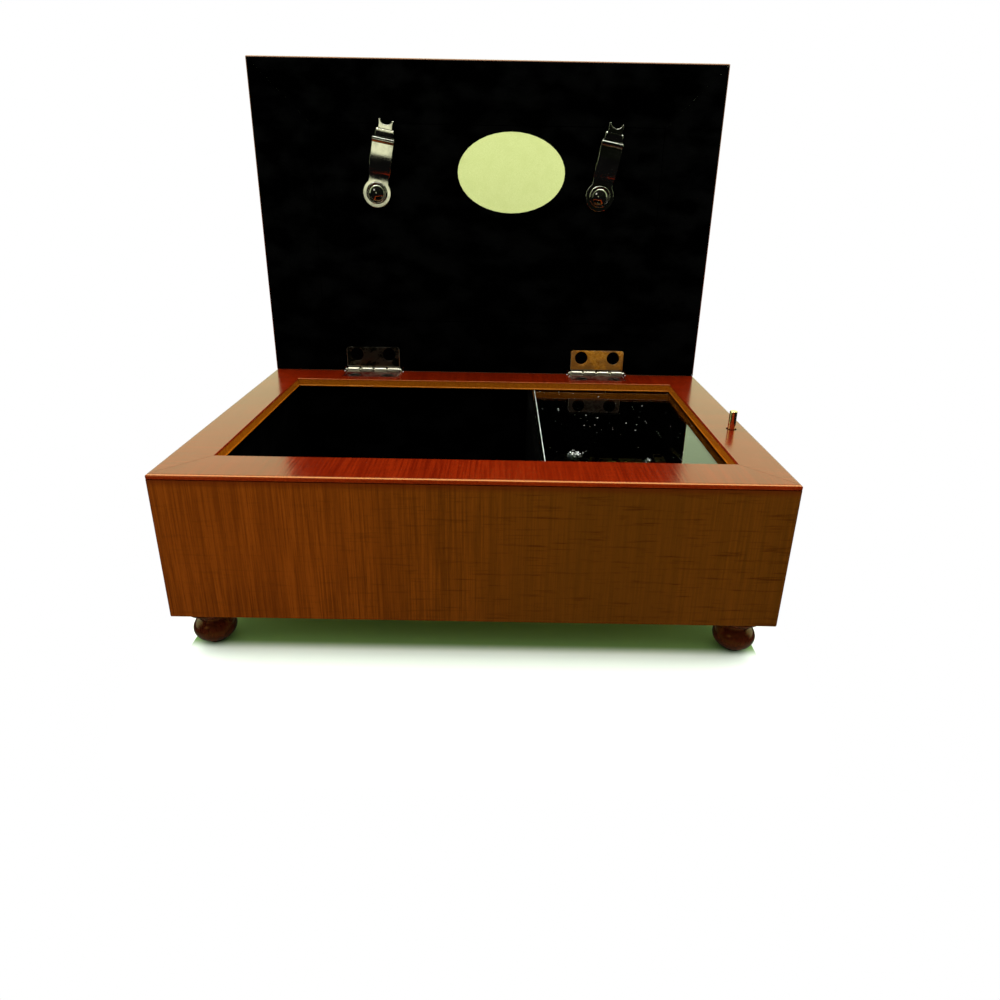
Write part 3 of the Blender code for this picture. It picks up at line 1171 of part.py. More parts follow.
def build_movement(strips):
    bedplate, low, high = build_bedplate()
    well = build_linings(low, high)
    spread = build_comb()
    head = 1.3 * MM
    comb_length = COMB_THICKNESS + 3.0 * MM
    for index, side in enumerate((-1, 1), start=1):
        add_cap_screw("comb_screw_" + str(index), CYLINDER_X + side * spread, COMB_SCREW_Y,
                      COMB_BOTTOM + COMB_THICKNESS + FIT, COMB_SCREW_RADIUS, head, comb_length)
    shank = COMB_SCREW_RADIUS / 2 + FIT
    comb_holes = rod_mesh("comb_screw_holes", [
        ((CYLINDER_X + side * spread, COMB_SCREW_Y, COMB_BOTTOM - comb_length),
         (CYLINDER_X + side * spread, COMB_SCREW_Y, COMB_BOTTOM + OVERCUT), shank, shank)
        for side in (-1, 1)], 12)
    combine(bedplate, add_cutter("comb_screw_holes", comb_holes))

    arbor_axis = add_empty("barrel_axis", (BARREL_X, CYLINDER_Y, BEDPLATE_TOP))
    arbor_radius = ARBOR_RADIUS + FIT
    arbor_hole = add_cutter("arbor_hole", rod_mesh("arbor_hole", [
        ((BARREL_X, CYLINDER_Y, BASE_TOP), (BARREL_X, CYLINDER_Y, BEDPLATE_TOP + OVERCUT),
         arbor_radius, arbor_radius)], 16))
    combine(bedplate, arbor_hole)
    crown_inner = build_crown(arbor_axis)
    build_barrel(arbor_axis, crown_inner)
    build_arbor_and_key(arbor_axis)
    cylinder_axis = add_empty("cylinder_axis", (0.0, CYLINDER_Y, CYLINDER_Z))
    build_cylinder(cylinder_axis)
    train_axis = add_empty("train_axis", (0.0, TRAIN_Y, TRAIN_Z))
    build_train(train_axis)
    governor_axis = add_empty("governor_axis", (WORM_WHEEL_X, WORM_Y, TRAIN_Z))
    governor_low, governor_high = build_governor(governor_axis)
    build_governor_bracket(governor_low, governor_high)

    mount_places = [(low[0] + 3.5 * MM, low[1] + 3.5 * MM), (CYLINDER_X, high[1] - 3.5 * MM)]
    base_holes = [circle(BARREL_X, CYLINDER_Y, arbor_radius, 16)]
    mount_holes = []
    shank = MOVEMENT_SCREW_RADIUS / 2
    length = BASE_THICKNESS + BEDPLATE_THICKNESS * 0.7
    head = 1.4 * MM
    for index, (x, y) in enumerate(mount_places, start=1):
        add_turned("movement_screw_" + str(index), [
            (0.0, length), (shank, length), (shank, 0.0), (MOVEMENT_SCREW_RADIUS, 0.0),
            (MOVEMENT_SCREW_RADIUS, -head), (0.0, -head)], STEEL, (x, y, CASE_BOTTOM - FIT), steps=16)
        top = CASE_BOTTOM + length + FIT
        mount_holes.append(((x, y, BEDPLATE_BOTTOM - OVERCUT), (x, y, top), shank + FIT, shank + FIT))
        base_holes.append(circle(x, y, shank + FIT, 12))
    screw_holes = add_cutter("movement_screw_holes", rod_mesh("movement_screw_holes", mount_holes, 16))
    combine(bedplate, screw_holes)
    build_base(base_holes)
    build_stop(strips, well)


def main():
    strips = build_case()
    build_feet()
    build_movement(strips)
    hinge_axis = add_empty("hinge_axis", (0.0, AXIS_Y, AXIS_Z))
    lid_axis = add_empty("lid_axis", (0.0, AXIS_Y, AXIS_Z), (-LID_OPEN, 0.0, 0.0))
    rails = build_lid(lid_axis)
    for label, side in (("left", -1), ("right", 1)):
        build_hinge(label, side * HINGE_X, hinge_axis, lid_axis, strips, rails["back"])
        build_clip(label, side, lid_axis)
    bpy.context.view_layer.update()


main()
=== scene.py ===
"""Looks of the musical jewelry box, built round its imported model.

Metres, +Z up, the front looks along -Y, and the lid stands open at rest.
"""

import json
from math import cos, radians, sin, tau

import bmesh
import bpy
from mathutils import Matrix, Vector

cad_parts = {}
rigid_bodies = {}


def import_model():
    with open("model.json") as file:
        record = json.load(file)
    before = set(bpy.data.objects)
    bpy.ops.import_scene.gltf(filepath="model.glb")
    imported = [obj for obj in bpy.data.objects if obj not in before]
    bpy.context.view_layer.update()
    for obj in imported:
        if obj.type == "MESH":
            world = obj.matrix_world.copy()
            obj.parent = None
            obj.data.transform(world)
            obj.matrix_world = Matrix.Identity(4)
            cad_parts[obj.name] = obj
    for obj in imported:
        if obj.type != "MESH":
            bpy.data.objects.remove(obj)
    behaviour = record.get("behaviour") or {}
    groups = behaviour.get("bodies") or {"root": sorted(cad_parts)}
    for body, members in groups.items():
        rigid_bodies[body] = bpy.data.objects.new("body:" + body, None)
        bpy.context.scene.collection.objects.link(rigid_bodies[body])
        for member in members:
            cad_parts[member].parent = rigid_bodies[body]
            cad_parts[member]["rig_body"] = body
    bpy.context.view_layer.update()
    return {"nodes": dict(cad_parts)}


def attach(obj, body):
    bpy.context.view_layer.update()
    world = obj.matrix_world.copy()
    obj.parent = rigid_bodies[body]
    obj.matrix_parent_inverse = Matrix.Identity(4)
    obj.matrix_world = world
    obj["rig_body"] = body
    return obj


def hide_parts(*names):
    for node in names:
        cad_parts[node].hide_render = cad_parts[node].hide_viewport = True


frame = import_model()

NODES = frame["nodes"]
MM = 0.001
PER_METRE = 1000.0
ORIGIN = (0.0, 0.0, 0.0)
X_AXIS = (1.0, 0.0, 0.0)
Y_AXIS = (0.0, 1.0, 0.0)
Z_AXIS = (0.0, 0.0, 1.0)

# The camera, worked out from the corners of the case and lid in the photograph, with angles in radians
CAMERA_PLACE = (7.655 * MM, -272.289 * MM, 151.309 * MM)
CAMERA_YAW = 0.0014
CAMERA_PITCH = 0.37366
CAMERA_ROLL = 0.01774
CAMERA_SENSOR = 36.0
CAMERA_LENS = 24.88
CAMERA_SHIFT_Y = -0.0405
CAMERA_NEAREST = 0.01
CAMERA_FARTHEST = 50.0

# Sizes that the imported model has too
CASE_SIDE = 102.5 * MM
CASE_FRONT = -75.325 * MM
CASE_BACK = 60.175 * MM
CASE_HALF_DEPTH = 67.75 * MM
WALL_TOP = 65.2 * MM
RIM_TOP = 67.0 * MM
OPENING_MIDDLE = (0.0, -7.575 * MM, 65.0 * MM)
PANE_LEFT = 22.7 * MM
GLASS_TOP = 62.0 * MM
FOOT_X = 92.2 * MM
FOOT_INSET = 10.3 * MM
HINGE_X = 54.5 * MM
HINGE_Y = 59.475 * MM
HINGE_Z = 67.15 * MM
LEAF_OFFSET = 0.35 * MM      # a leaf's face from the level of the hinge axis
LEAF_SCREW_X = 7.75 * MM      # a leaf's screws from its middle
LEAF_SCREW_OUT = 8.0 * MM      # a leaf's screws from the hinge axis
LID_FACE = 59.625 * MM      # inner side of the open lid
LID_MIDDLE_Z = 134.2 * MM
CLIP_LEFT_X = -49.0 * MM
CLIP_RIGHT_X = 50.6 * MM
CLIP_Z = 148.55 * MM
CLIP_TILT = radians(10.5)
CLIP_SEAT = 0.3 * MM      # a clip's underside from the lid's face
RIVET_SEAT = 1.3 * MM      # the underside of a rivet's head from the lid's face
STOP_PLACE = (96.4 * MM, -20.925 * MM, 0.0)

# Sizes that only the looks have: the spaces are half sizes of boxes where a finish changes
LEAF_FACE = 59.3 * MM      # of the lid's leaves, just proud of the lid
LEAF_COVER = 7.0 * MM      # middle of the part of a leaf with its painted reflection, from the hinge axis
LIP_SPACE = (89.5 * MM, 52.4 * MM, 4.0 * MM)
LID_REBATE = (78.0 * MM, 9.0 * MM, 43.2 * MM)
HINGE_POCKET = (13.5 * MM, 2.2 * MM, 12.3 * MM)

# Patterns in wood: millimetres across and along the grain, then the noise's detail and roughness.
# The fibres and pores are drawn coarser than real ones, so that they show.
WOOD_FIBRE = (0.6, 26.0, 4.0, 0.65)
WOOD_PORE = (0.35, 4.0, 1.0, 0.5)
WOOD_BAND = (6.0, 150.0, 2.0, 0.5)
WOOD_RIBBON = (15.0, 1.1, 3.0, 0.6)
WOOD_DRIFT = (55.0, 55.0, 1.0, 0.5)

# Colours in wood that go with a place on it and not with its grain: the first two are painted shade, darker
# and greener towards +X and reddish close under the rim
WALL_PAINTED_SHADE = "#352004"
WALL_PAINTED_SHADE_UNDER_RIM = "#3A0D02"
LIP_DARK = "#8A4306"
LIP_PALE = "#A9600E"
LACQUER_TINT = "#FFB43C"

# Specks on the glass: the mean distance between specks of lint in millimetres, and each heap's X, Y and
# radius. The heaps are pale specks over the tops of the spring barrel and the governor.
SPECK_SPACING = 2.2
SPECK_HEAPS = ((34.8 * MM, -40.0 * MM, 7.0 * MM), (60.5 * MM, -44.5 * MM, 4.0 * MM))

# Settings that many nodes share
SMOOTH = {"interpolation_type": "SMOOTHSTEP"}
COLOUR = {"data_type": "RGBA"}


# Nodes and colours

def paint(code):
    """An sRGB hex colour as linear red, green, blue and alpha."""
    values = [int(code[i:i + 2], 16) / 255 for i in (1, 3, 5)]
    return (*(v / 12.92 if v <= 0.04045 else ((v + 0.055) / 1.055) ** 2.4 for v in values), 1.0)


def shaded(code, share):
    """A hex colour with its red, green and blue cut to a share."""
    return "#" + "".join("%02X" % round(int(code[i:i + 2], 16) * share) for i in (1, 3, 5))


def add(tree, kind, inputs=None, **settings):
    """A node with its settings, and its inputs set to values or linked from nodes or their sockets."""
    node = tree.nodes.new("ShaderNode" + kind)
    for setting, value in settings.items():
        setattr(node, setting, value)
    for socket, value in (inputs or {}).items():
        if isinstance(value, bpy.types.Node):
            value = next(output for output in value.outputs if output.enabled)
        if isinstance(value, bpy.types.NodeSocket):
            tree.links.new(value, node.inputs[socket])
        else:
            node.inputs[socket].default_value = value
    return node


def start_material(name):
    material = bpy.data.materials.new(name)
    material.use_nodes = True
    material.node_tree.nodes.clear()
    return material, material.node_tree


def finish_material(material, shader):
    add(material.node_tree, "OutputMaterial", {"Surface": shader})
    return material


def pattern(tree, size, detail=2.0, roughness=0.5, turn=ORIGIN):
    """Noise on the object's own coordinates, its grain the given size in millimetres.

    Most of it lies from 0.3 to 0.7, and the levels at which a material changes are on that scale.
    """
    place = add(tree, "TexCoord").outputs["Object"]
    laid = add(tree, "Mapping", {"Vector": place, "Rotation": turn})
    scaled = add(tree, "VectorMath", {0: laid, 1: tuple(PER_METRE / length for length in size)},
                 operation="MULTIPLY")
    return add(tree, "TexNoise", {"Vector": scaled, "Scale": 1.0, "Detail": detail,
                                  "Roughness": roughness})


def toned(tree, first, second, value, low, high, most=1.0):
    """A colour that passes into a second one, up to a share, as a value rises between two levels."""
    share = add(tree, "MapRange", {"Value": value, "From Min": low, "From Max": high, "To Max": most},
                **SMOOTH)
    return add(tree, "Mix", {"Factor": share, "A": first, "B": second}, **COLOUR)


def places(tree):
    """X, Y and Z on the object's own coordinates."""
    return add(tree, "SeparateXYZ", {0: add(tree, "TexCoord").outputs["Object"]}).outputs


def inside_box(tree, half_sizes, middle):
    """1 inside a box that is given by its half sizes and its middle, otherwise 0."""
    place = add(tree, "TexCoord").outputs["Object"]
    from_middle = add(tree, "VectorMath", {0: place, 1: middle}, operation="SUBTRACT")
    from_middle = add(tree, "VectorMath", {0: from_middle}, operation="ABSOLUTE")
    shares = add(tree, "VectorMath", {0: from_middle, 1: half_sizes}, operation="DIVIDE")
    sides = add(tree, "SeparateXYZ", {0: shares}).outputs
    widest = add(tree, "Math", {0: sides[0], 1: sides[1]}, operation="MAXIMUM")
    widest = add(tree, "Math", {0: widest, 1: sides[2]}, operation="MAXIMUM")
    return add(tree, "Math", {0: widest, 1: 1.0}, operation="LESS_THAN")


# Materials

def lacquered_wood(name, dark, pale, along, gloss, figure=0.2, painted_shade_from=None, lipped=False,
                   lined=False):
    """Straight-grained veneer under rubbed gloss lacquer: fine fibres, pores, a soft ribbon figure.

    A piece with painted_shade_from has painted shade, darker and greener, between two places on X,
    in millimetres, and a reddish painted shade close under the rim. A lipped piece has paler, more
    orange wood down its inner lip.
    A lined piece has its face towards the box's inside covered in black flock.
    """
    material, tree = start_material(name)

    def grain(across, length, detail, roughness):
        return pattern(tree, [length if axis == along else across for axis in "XYZ"], detail, roughness)

    fibre = grain(*WOOD_FIBRE)
    tone = toned(tree, paint(dark), paint(pale), fibre, 0.32, 0.68)
    tone = toned(tree, tone, paint(dark), grain(*WOOD_BAND), 0.35, 0.7, most=0.4)
    tone = toned(tree, tone, paint(pale), grain(*WOOD_DRIFT), 0.35, 0.65, most=0.25)
    ribbon = add(tree, "MapRange", {"Value": grain(*WOOD_RIBBON), "From Min": 0.52, "From Max": 0.7,
                                    "To Max": figure}, **SMOOTH)
    # Painted shade: the wood turns darker and greener towards +X.
    if painted_shade_from is not None:
        x, _, z = places(tree)
        far = add(tree, "MapRange", {"Value": x, "From Min": painted_shade_from[0] * MM,
                                     "From Max": painted_shade_from[1] * MM}, **SMOOTH)
        painted_shade = add(tree, "Mix", {"Factor": 0.62, "A": tone, "B": paint(WALL_PAINTED_SHADE)}, **COLOUR)
        tone = add(tree, "Mix", {"Factor": far, "A": tone, "B": painted_shade}, **COLOUR)
        strength = add(tree, "Math", {0: far, 1: 0.8, 2: 0.25}, operation="MULTIPLY_ADD")
        ribbon = add(tree, "Math", {0: ribbon, 1: strength}, operation="MULTIPLY")
        # Painted shade under the rim's overhang: reddish and darker over the wall's top 3 mm.
        tone = toned(tree, tone, paint(WALL_PAINTED_SHADE_UNDER_RIM), z, WALL_TOP - 3.0 * MM, WALL_TOP, most=0.6)
    tone = add(tree, "Mix", {"Factor": ribbon, "A": tone, "B": paint(shaded(dark, 0.7))}, **COLOUR)
    tone = toned(tree, tone, paint(shaded(dark, 0.5)), grain(*WOOD_PORE), 0.64, 0.74, most=0.2)
    if lipped:
        low = add(tree, "MapRange", {"Value": places(tree)[2], "From Min": RIM_TOP - 0.9 * MM,
                                     "From Max": RIM_TOP - 0.2 * MM, "To Min": 1.0, "To Max": 0.0}, **SMOOTH)
        lip = add(tree, "Math", {0: low, 1: inside_box(tree, LIP_SPACE, OPENING_MIDDLE)},
                  operation="MULTIPLY")
        orange = toned(tree, paint(LIP_DARK), paint(LIP_PALE), fibre, 0.3, 0.7)
        tone = add(tree, "Mix", {"Factor": lip, "A": tone, "B": orange}, **COLOUR)
    rough = add(tree, "MapRange", {"Value": fibre, "From Min": 0.3, "From Max": 0.7, "To Min": 0.14,
                                   "To Max": 0.2}, **SMOOTH)
    wave = pattern(tree, (11.0, 11.0, 11.0), 1.0, 0.4)
    shader = add(tree, "BsdfPrincipled", {
        "Base Color": tone, "Roughness": rough, "IOR": 1.5,
        "Specular IOR Level": gloss, "Specular Tint": paint(LACQUER_TINT),
        "Coat Weight": 0.12 * gloss, "Coat Roughness": 0.1, "Coat IOR": 1.5,
        "Normal": add(tree, "Bump", {"Height": fibre, "Distance": 0.02 * MM}),
        "Coat Normal": add(tree, "Bump", {"Height": wave, "Distance": 0.02 * MM})})
    if lined:
        covered = add(tree, "MapRange", {"Value": places(tree)[1], "From Min": LID_FACE + 0.2 * MM,
                                         "From Max": LID_FACE + 0.9 * MM, "To Min": 1.0, "To Max": 0.0},
                      **SMOOTH)
        hidden = inside_box(tree, LID_REBATE, (0.0, LID_FACE, LID_MIDDLE_Z))
        for hinge_x in (-HINGE_X, HINGE_X):
            pocket = inside_box(tree, HINGE_POCKET, (hinge_x, LID_FACE, HINGE_Z))
            hidden = add(tree, "Math", {0: hidden, 1: pocket}, operation="MAXIMUM")
        covered = add(tree, "Math", {0: covered, 1: hidden}, operation="MAXIMUM")
        shader = add(tree, "MixShader", {0: covered, 1: shader, 2: flock_shader(tree)})
    return finish_material(material, shader)


def flock_shader(tree):
    """Pile so deep that it stays near black. Its tufts are drawn coarser than real ones, to show."""
    pile = pattern(tree, (0.35, 0.35, 0.35), 3.0, 0.7)
    brushed = pattern(tree, (14.0, 14.0, 9.0), 2.0, 0.5)
    return add(tree, "BsdfPrincipled", {
        "Base Color": toned(tree, paint("#000000"), paint("#030303"), brushed, 0.4, 0.7),
        "Roughness": 1.0, "Specular IOR Level": 0.01, "Sheen Weight": 0.002,
        "Sheen Roughness": 0.5, "Sheen Tint": paint("#8A8C92"),
        "Normal": add(tree, "Bump", {"Height": pile, "Distance": 0.12 * MM})})


def black_flock():
    """Nylon flock: drinks the light, a shade less where the pile is brushed."""
    material, tree = start_material("black_nylon_flock")
    return finish_material(material, flock_shader(tree))


def plated_metal(name, colour, roughness, scratch=0.004):
    """Plated metal, polished or dulled: a mirror with faint rubbing marks.

    The marks are drawn wider than real ones, so that they show. Their depth is in millimetres.
    """
    material, tree = start_material(name)
    smudge = pattern(tree, (4.0, 4.0, 4.0), 3.0, 0.6)
    rub = pattern(tree, (0.25, 6.0, 0.25), 2.0, 0.6, turn=(0.0, 0.0, radians(24)))
    rough = add(tree, "MapRange", {"Value": smudge, "From Min": 0.35, "From Max": 0.7,
                                   "To Min": roughness[0], "To Max": roughness[1]}, **SMOOTH)
    return finish_material(material, add(tree, "BsdfPrincipled", {
        "Base Color": paint(colour), "Metallic": 1.0, "Roughness": rough,
        "Normal": add(tree, "Bump", {"Height": rub, "Distance": scratch * MM})}))


def speck_share(tree):
    """1 on the specks of lint, which lie in loose patches, and in the heaps of pale specks over the barrel
    and governor, otherwise 0.
    """
    place = add(tree, "TexCoord").outputs["Object"]
    cells = add(tree, "TexVoronoi", {"Vector": place, "Scale": PER_METRE / SPECK_SPACING}).outputs
    chance = add(tree, "SeparateColor", {0: cells["Color"]})
    size = add(tree, "MapRange", {"Value": chance, "From Min": 0.55, "From Max": 1.0, "To Max": 0.115},
               **SMOOTH)
    speck = add(tree, "Math", {0: cells["Distance"], 1: size}, operation="LESS_THAN")
    patch = add(tree, "MapRange", {"Value": pattern(tree, (17.0, 14.0, 17.0), 1.0, 0.5),
                                   "From Min": 0.42, "From Max": 0.6}, **SMOOTH)
    share = add(tree, "Math", {0: speck, 1: patch}, operation="MULTIPLY")
    fine = pattern(tree, (0.4, 1.1, 0.4), 1.0, 0.5)
    for x, y, radius in SPECK_HEAPS:
        away = add(tree, "VectorMath", {0: place, 1: (x, y, GLASS_TOP)}, operation="DISTANCE")
        least = add(tree, "MapRange", {"Value": away, "From Max": radius, "To Min": 0.56, "To Max": 0.9},
                    **SMOOTH)
        heap = add(tree, "Math", {0: fine, 1: least}, operation="GREATER_THAN")
        share = add(tree, "Math", {0: share, 1: heap}, operation="MAXIMUM")
    return share


def chamfer_share(tree):
    """1 on a thin line beside the pane's left edge, otherwise 0."""
    across = places(tree)[0]
    inner = add(tree, "MapRange", {"Value": across, "From Min": PANE_LEFT + 1.1 * MM,
                                   "From Max": PANE_LEFT + 1.15 * MM, "To Min": 1.0, "To Max": 0.0},
                **SMOOTH)
    outer = add(tree, "MapRange", {"Value": across, "From Min": PANE_LEFT + 0.9 * MM,
                                   "From Max": PANE_LEFT + 0.95 * MM}, **SMOOTH)
    return add(tree, "Math", {0: inner, 1: outer}, operation="MULTIPLY")


def float_glass(name, colour, used=False):
    """Polished float glass. A used pane has dust on it, heaps of pale specks over the parts beneath, and the
    frosted line of its ground chamfer.
    """
    material, tree = start_material(name)
    shader = add(tree, "BsdfPrincipled", {
        "Base Color": paint(colour), "Roughness": 0.0, "IOR": 1.5, "Transmission Weight": 1.0})
    if used:
        pale_specks = add(tree, "BsdfPrincipled", {"Base Color": paint("#E8EDE2"), "Roughness": 0.9,
                                            "Specular IOR Level": 0.1})
        shader = add(tree, "MixShader", {0: speck_share(tree), 1: shader, 2: pale_specks})
        chips = pattern(tree, (0.6, 2.5, 0.6), 2.0, 0.6)
        tone = toned(tree, paint("#8E9B90"), paint("#E2EBE0"), chips, 0.3, 0.7)
        frosted = add(tree, "BsdfPrincipled", {"Base Color": tone, "Roughness": 0.5})
        shader = add(tree, "MixShader", {0: chamfer_share(tree), 1: shader, 2: frosted})
    return finish_material(material, shader)


def leaf_with_painted_reflection(name, dark, pale, deep, gloss, half_sizes, middles):
    """Nickel leaf whose face carries a painted reflection in a flat mottled colour, with a bright bare edge.

    The painted reflection lies in boxes round the middles, and is darker in mirrors.
    """
    material, tree = start_material(name)
    mottle = pattern(tree, (1.3, 1.3, 1.0), 4.0, 0.7)
    broad = pattern(tree, (7.0, 7.0, 5.0), 2.0, 0.5)
    tone = toned(tree, paint(dark), paint(pale), mottle, 0.35, 0.65)
    tone = toned(tree, tone, paint(deep), broad, 0.4, 0.65, most=0.6)
    tone = add(tree, "Mix", {"Factor": add(tree, "LightPath").outputs["Is Glossy Ray"], "A": tone,
                             "B": paint(shaded(deep, 0.5))}, **COLOUR)
    # The painted reflection: a flat colour standing in for what the mirror-bright leaf reflects.
    stain = add(tree, "BsdfPrincipled", {"Base Color": tone, "Roughness": 0.4, "Specular IOR Level": gloss})
    metal = add(tree, "BsdfPrincipled", {"Base Color": paint("#EDE6D2"), "Metallic": 1.0, "Roughness": 0.3})
    metal_showing = add(tree, "Math", {0: mottle, 1: broad}, operation="ADD")
    share = add(tree, "MapRange", {"Value": metal_showing, "From Min": 0.85, "From Max": 1.05,
                                   "To Min": 1.0, "To Max": 0.85}, **SMOOTH)
    covered = inside_box(tree, half_sizes, middles[0])
    for middle in middles[1:]:
        covered = add(tree, "Math", {0: covered, 1: inside_box(tree, half_sizes, middle)},
                      operation="MAXIMUM")
    share = add(tree, "Math", {0: share, 1: covered}, operation="MULTIPLY")
    return finish_material(material, add(tree, "MixShader", {0: share, 1: metal, 2: stain}))


def matt_sheet(name, colour, shade, fibre):
    """Uncoated paper or board: a slight mottle, and short fibres, drawn wide enough to show."""
    material, tree = start_material(name)
    fibres = pattern(tree, (fibre, fibre * 3, fibre), 3.0, 0.7, turn=(0.3, 0.5, 0.2))
    mottle = pattern(tree, (5.0, 5.0, 5.0), 2.0, 0.5)
    tone = toned(tree, paint(colour), paint(shade), fibres, 0.35, 0.65)
    tone = toned(tree, tone, paint(shade), mottle, 0.4, 0.7, most=0.35)
    return finish_material(material, add(tree, "BsdfPrincipled", {
        "Base Color": tone, "Roughness": 0.85, "Specular IOR Level": 0.25,
        "Normal": add(tree, "Bump", {"Height": fibres, "Distance": 0.03 * MM})}))


def cast_metal(name, colour, shade):
    """Die-cast zinc: dull, slightly pebbled skin."""
    material, tree = start_material(name)
    pebble = pattern(tree, (0.5, 0.5, 0.5), 3.0, 0.6)
    stain = pattern(tree, (8.0, 8.0, 8.0), 2.0, 0.5)
    rough = add(tree, "MapRange", {"Value": stain, "From Min": 0.3, "From Max": 0.7, "To Min": 0.42,
                                   "To Max": 0.55}, **SMOOTH)
    return finish_material(material, add(tree, "BsdfPrincipled", {
        "Base Color": toned(tree, paint(colour), paint(shade), stain, 0.35, 0.7),
        "Metallic": 1.0, "Roughness": rough,
        "Normal": add(tree, "Bump", {"Height": pebble, "Distance": 0.03 * MM})}))


def birch_plywood():
    """Birch ply: pale face veneer, and a darker glue line at each millimetre of height."""
    material, tree = start_material("birch_plywood")
    grain = pattern(tree, (45.0, 1.2, 1.2), 3.0, 0.6)
    tone = toned(tree, paint("#B88F5E"), paint("#D8B685"), grain, 0.3, 0.7)
    veneer = add(tree, "Math", {0: places(tree)[2], 1: 1.0 * MM}, operation="MODULO")
    glue = add(tree, "MapRange", {"Value": veneer, "From Max": 0.12 * MM, "To Min": 0.5, "To Max": 0.0},
               **SMOOTH)
    tone = add(tree, "Mix", {"Factor": glue, "A": tone, "B": paint("#5E3E20")}, **COLOUR)
    return finish_material(material, add(tree, "BsdfPrincipled", {
        "Base Color": tone, "Roughness": 0.7, "Specular IOR Level": 0.3,
        "Normal": add(tree, "Bump", {"Height": grain, "Distance": 0.03 * MM})}))


WALL_WOOD = lacquered_wood("walnut_veneer_upright_grain", "#401802", "#622B06", "Z", gloss=0.03,
                           figure=0.7, painted_shade_from=(-70.0, 40.0))
RIM_WOOD_Y = lacquered_wood("rim_veneer_grain_front_to_back", "#4C0B01", "#6A1802", "Y", gloss=0.85,
                            lipped=True)
RIM_WOOD_X = lacquered_wood("rim_veneer_grain_side_to_side", "#4C0B01", "#6A1802", "X", gloss=0.85,
                            lipped=True)
LID_WOOD_X = lacquered_wood("lid_veneer_grain_side_to_side", "#511A05", "#75300C", "X", gloss=0.5,
                            lined=True)
LID_WOOD_Z = lacquered_wood("lid_veneer_grain_up_and_down", "#511A05", "#75300C", "Z", gloss=0.5,
                            lined=True)
FOOT_WOOD = lacquered_wood("turned_hardwood_gloss_lacquer", "#280A04", "#3A1207", "Z", gloss=0.6)
FLOCK = black_flock()
NICKEL = plated_metal("nickel_plated_steel", "#DCD8CC", roughness=(0.06, 0.14))
# Painted reflections on the hinge leaves: the wood on the right lid leaf, the black lid on the left one,
# dark red on the case leaves.
PAINTED_WOOD_REFLECTION_LEAF = leaf_with_painted_reflection("nickel_leaf_with_painted_wood_reflection", "#A26204", "#C8860A", "#6A4006", gloss=0.5,
                          half_sizes=(12.65 * MM, 1.0 * MM, 4.7 * MM),
                          middles=[(HINGE_X, LEAF_FACE, HINGE_Z + LEAF_COVER)])
PAINTED_BLACK_REFLECTION_LEAF = leaf_with_painted_reflection("nickel_leaf_with_painted_black_reflection", "#040402", "#0C0B04", "#000000", gloss=0.0,
                         half_sizes=(12.6 * MM, 1.0 * MM, 4.65 * MM),
                         middles=[(-HINGE_X, LEAF_FACE, HINGE_Z + 6.9 * MM)])
PAINTED_RED_REFLECTION_LEAF = leaf_with_painted_reflection("nickel_leaf_with_painted_red_reflection", "#2A0503", "#400A04", "#1A0302", gloss=0.0,
                        half_sizes=(12.65 * MM, 4.7 * MM, 1.0 * MM),
                        middles=[(x, HINGE_Y - LEAF_COVER, HINGE_Z - LEAF_OFFSET)
                                 for x in (-HINGE_X, HINGE_X)])
WARM_NICKEL = plated_metal("warm_nickel_stop_pin", "#F4E2A8", roughness=(0.16, 0.26))
SCREW_BLACK = plated_metal("blackened_steel_screw", "#0B0A0C", roughness=(0.4, 0.55), scratch=0.01)
BRASS = plated_metal("dulled_brass", "#7E6636", roughness=(0.24, 0.38))
STEEL = plated_metal("ground_comb_steel", "#8C8E90", roughness=(0.24, 0.36), scratch=0.01)
ZINC = cast_metal("die_cast_zinc", "#787A78", "#626462")
CASE_GLASS = float_glass("dusty_float_glass", "#A8B6AC", used=True)
PICTURE_GLASS = float_glass("clean_float_glass", "#EEF6F1")
PAPER = matt_sheet("label_paper", "#CFD492", "#C0C680", fibre=0.25)
CARD = matt_sheet("ivory_mount_board", "#E9E3D2", "#DED6C2", fibre=0.4)
PLYWOOD = birch_plywood()


# Ways of working a shape

WELD_GAP = 0.001 * MM
FLAT_ANGLE = radians(0.6)


def merged_copy(node):
    """A CAD node's mesh as a welded bmesh with its flat faces whole again."""
    shape = bmesh.new()
    shape.from_mesh(NODES[node].data)
    bmesh.ops.remove_doubles(shape, verts=shape.verts, dist=WELD_GAP)
    bmesh.ops.dissolve_limit(shape, angle_limit=FLAT_ANGLE, verts=shape.verts, edges=shape.edges)
    return shape


def score(shape, place, across, **settings):
    """New edges all round a shape, where a plane through the place meets it."""
    bmesh.ops.bisect_plane(shape, geom=shape.verts[:] + shape.edges[:] + shape.faces[:],
                           plane_co=place, plane_no=across, **settings)


def pull_up(shape, faces, height):
    """Extrude faces along Z, with the first ones left behind as a floor."""
    moved = bmesh.ops.extrude_face_region(shape, geom=faces)["geom"]
    bmesh.ops.translate(shape, vec=(0.0, 0.0, height),
                        verts=[item for item in moved if isinstance(item, bmesh.types.BMVert)])


def roll_edges(shape, edges, width, segments):
    bmesh.ops.bevel(shape, geom=edges, offset=width, offset_type="OFFSET", affect="EDGES",
                    segments=segments, profile=0.5, material=-1, clamp_overlap=True)


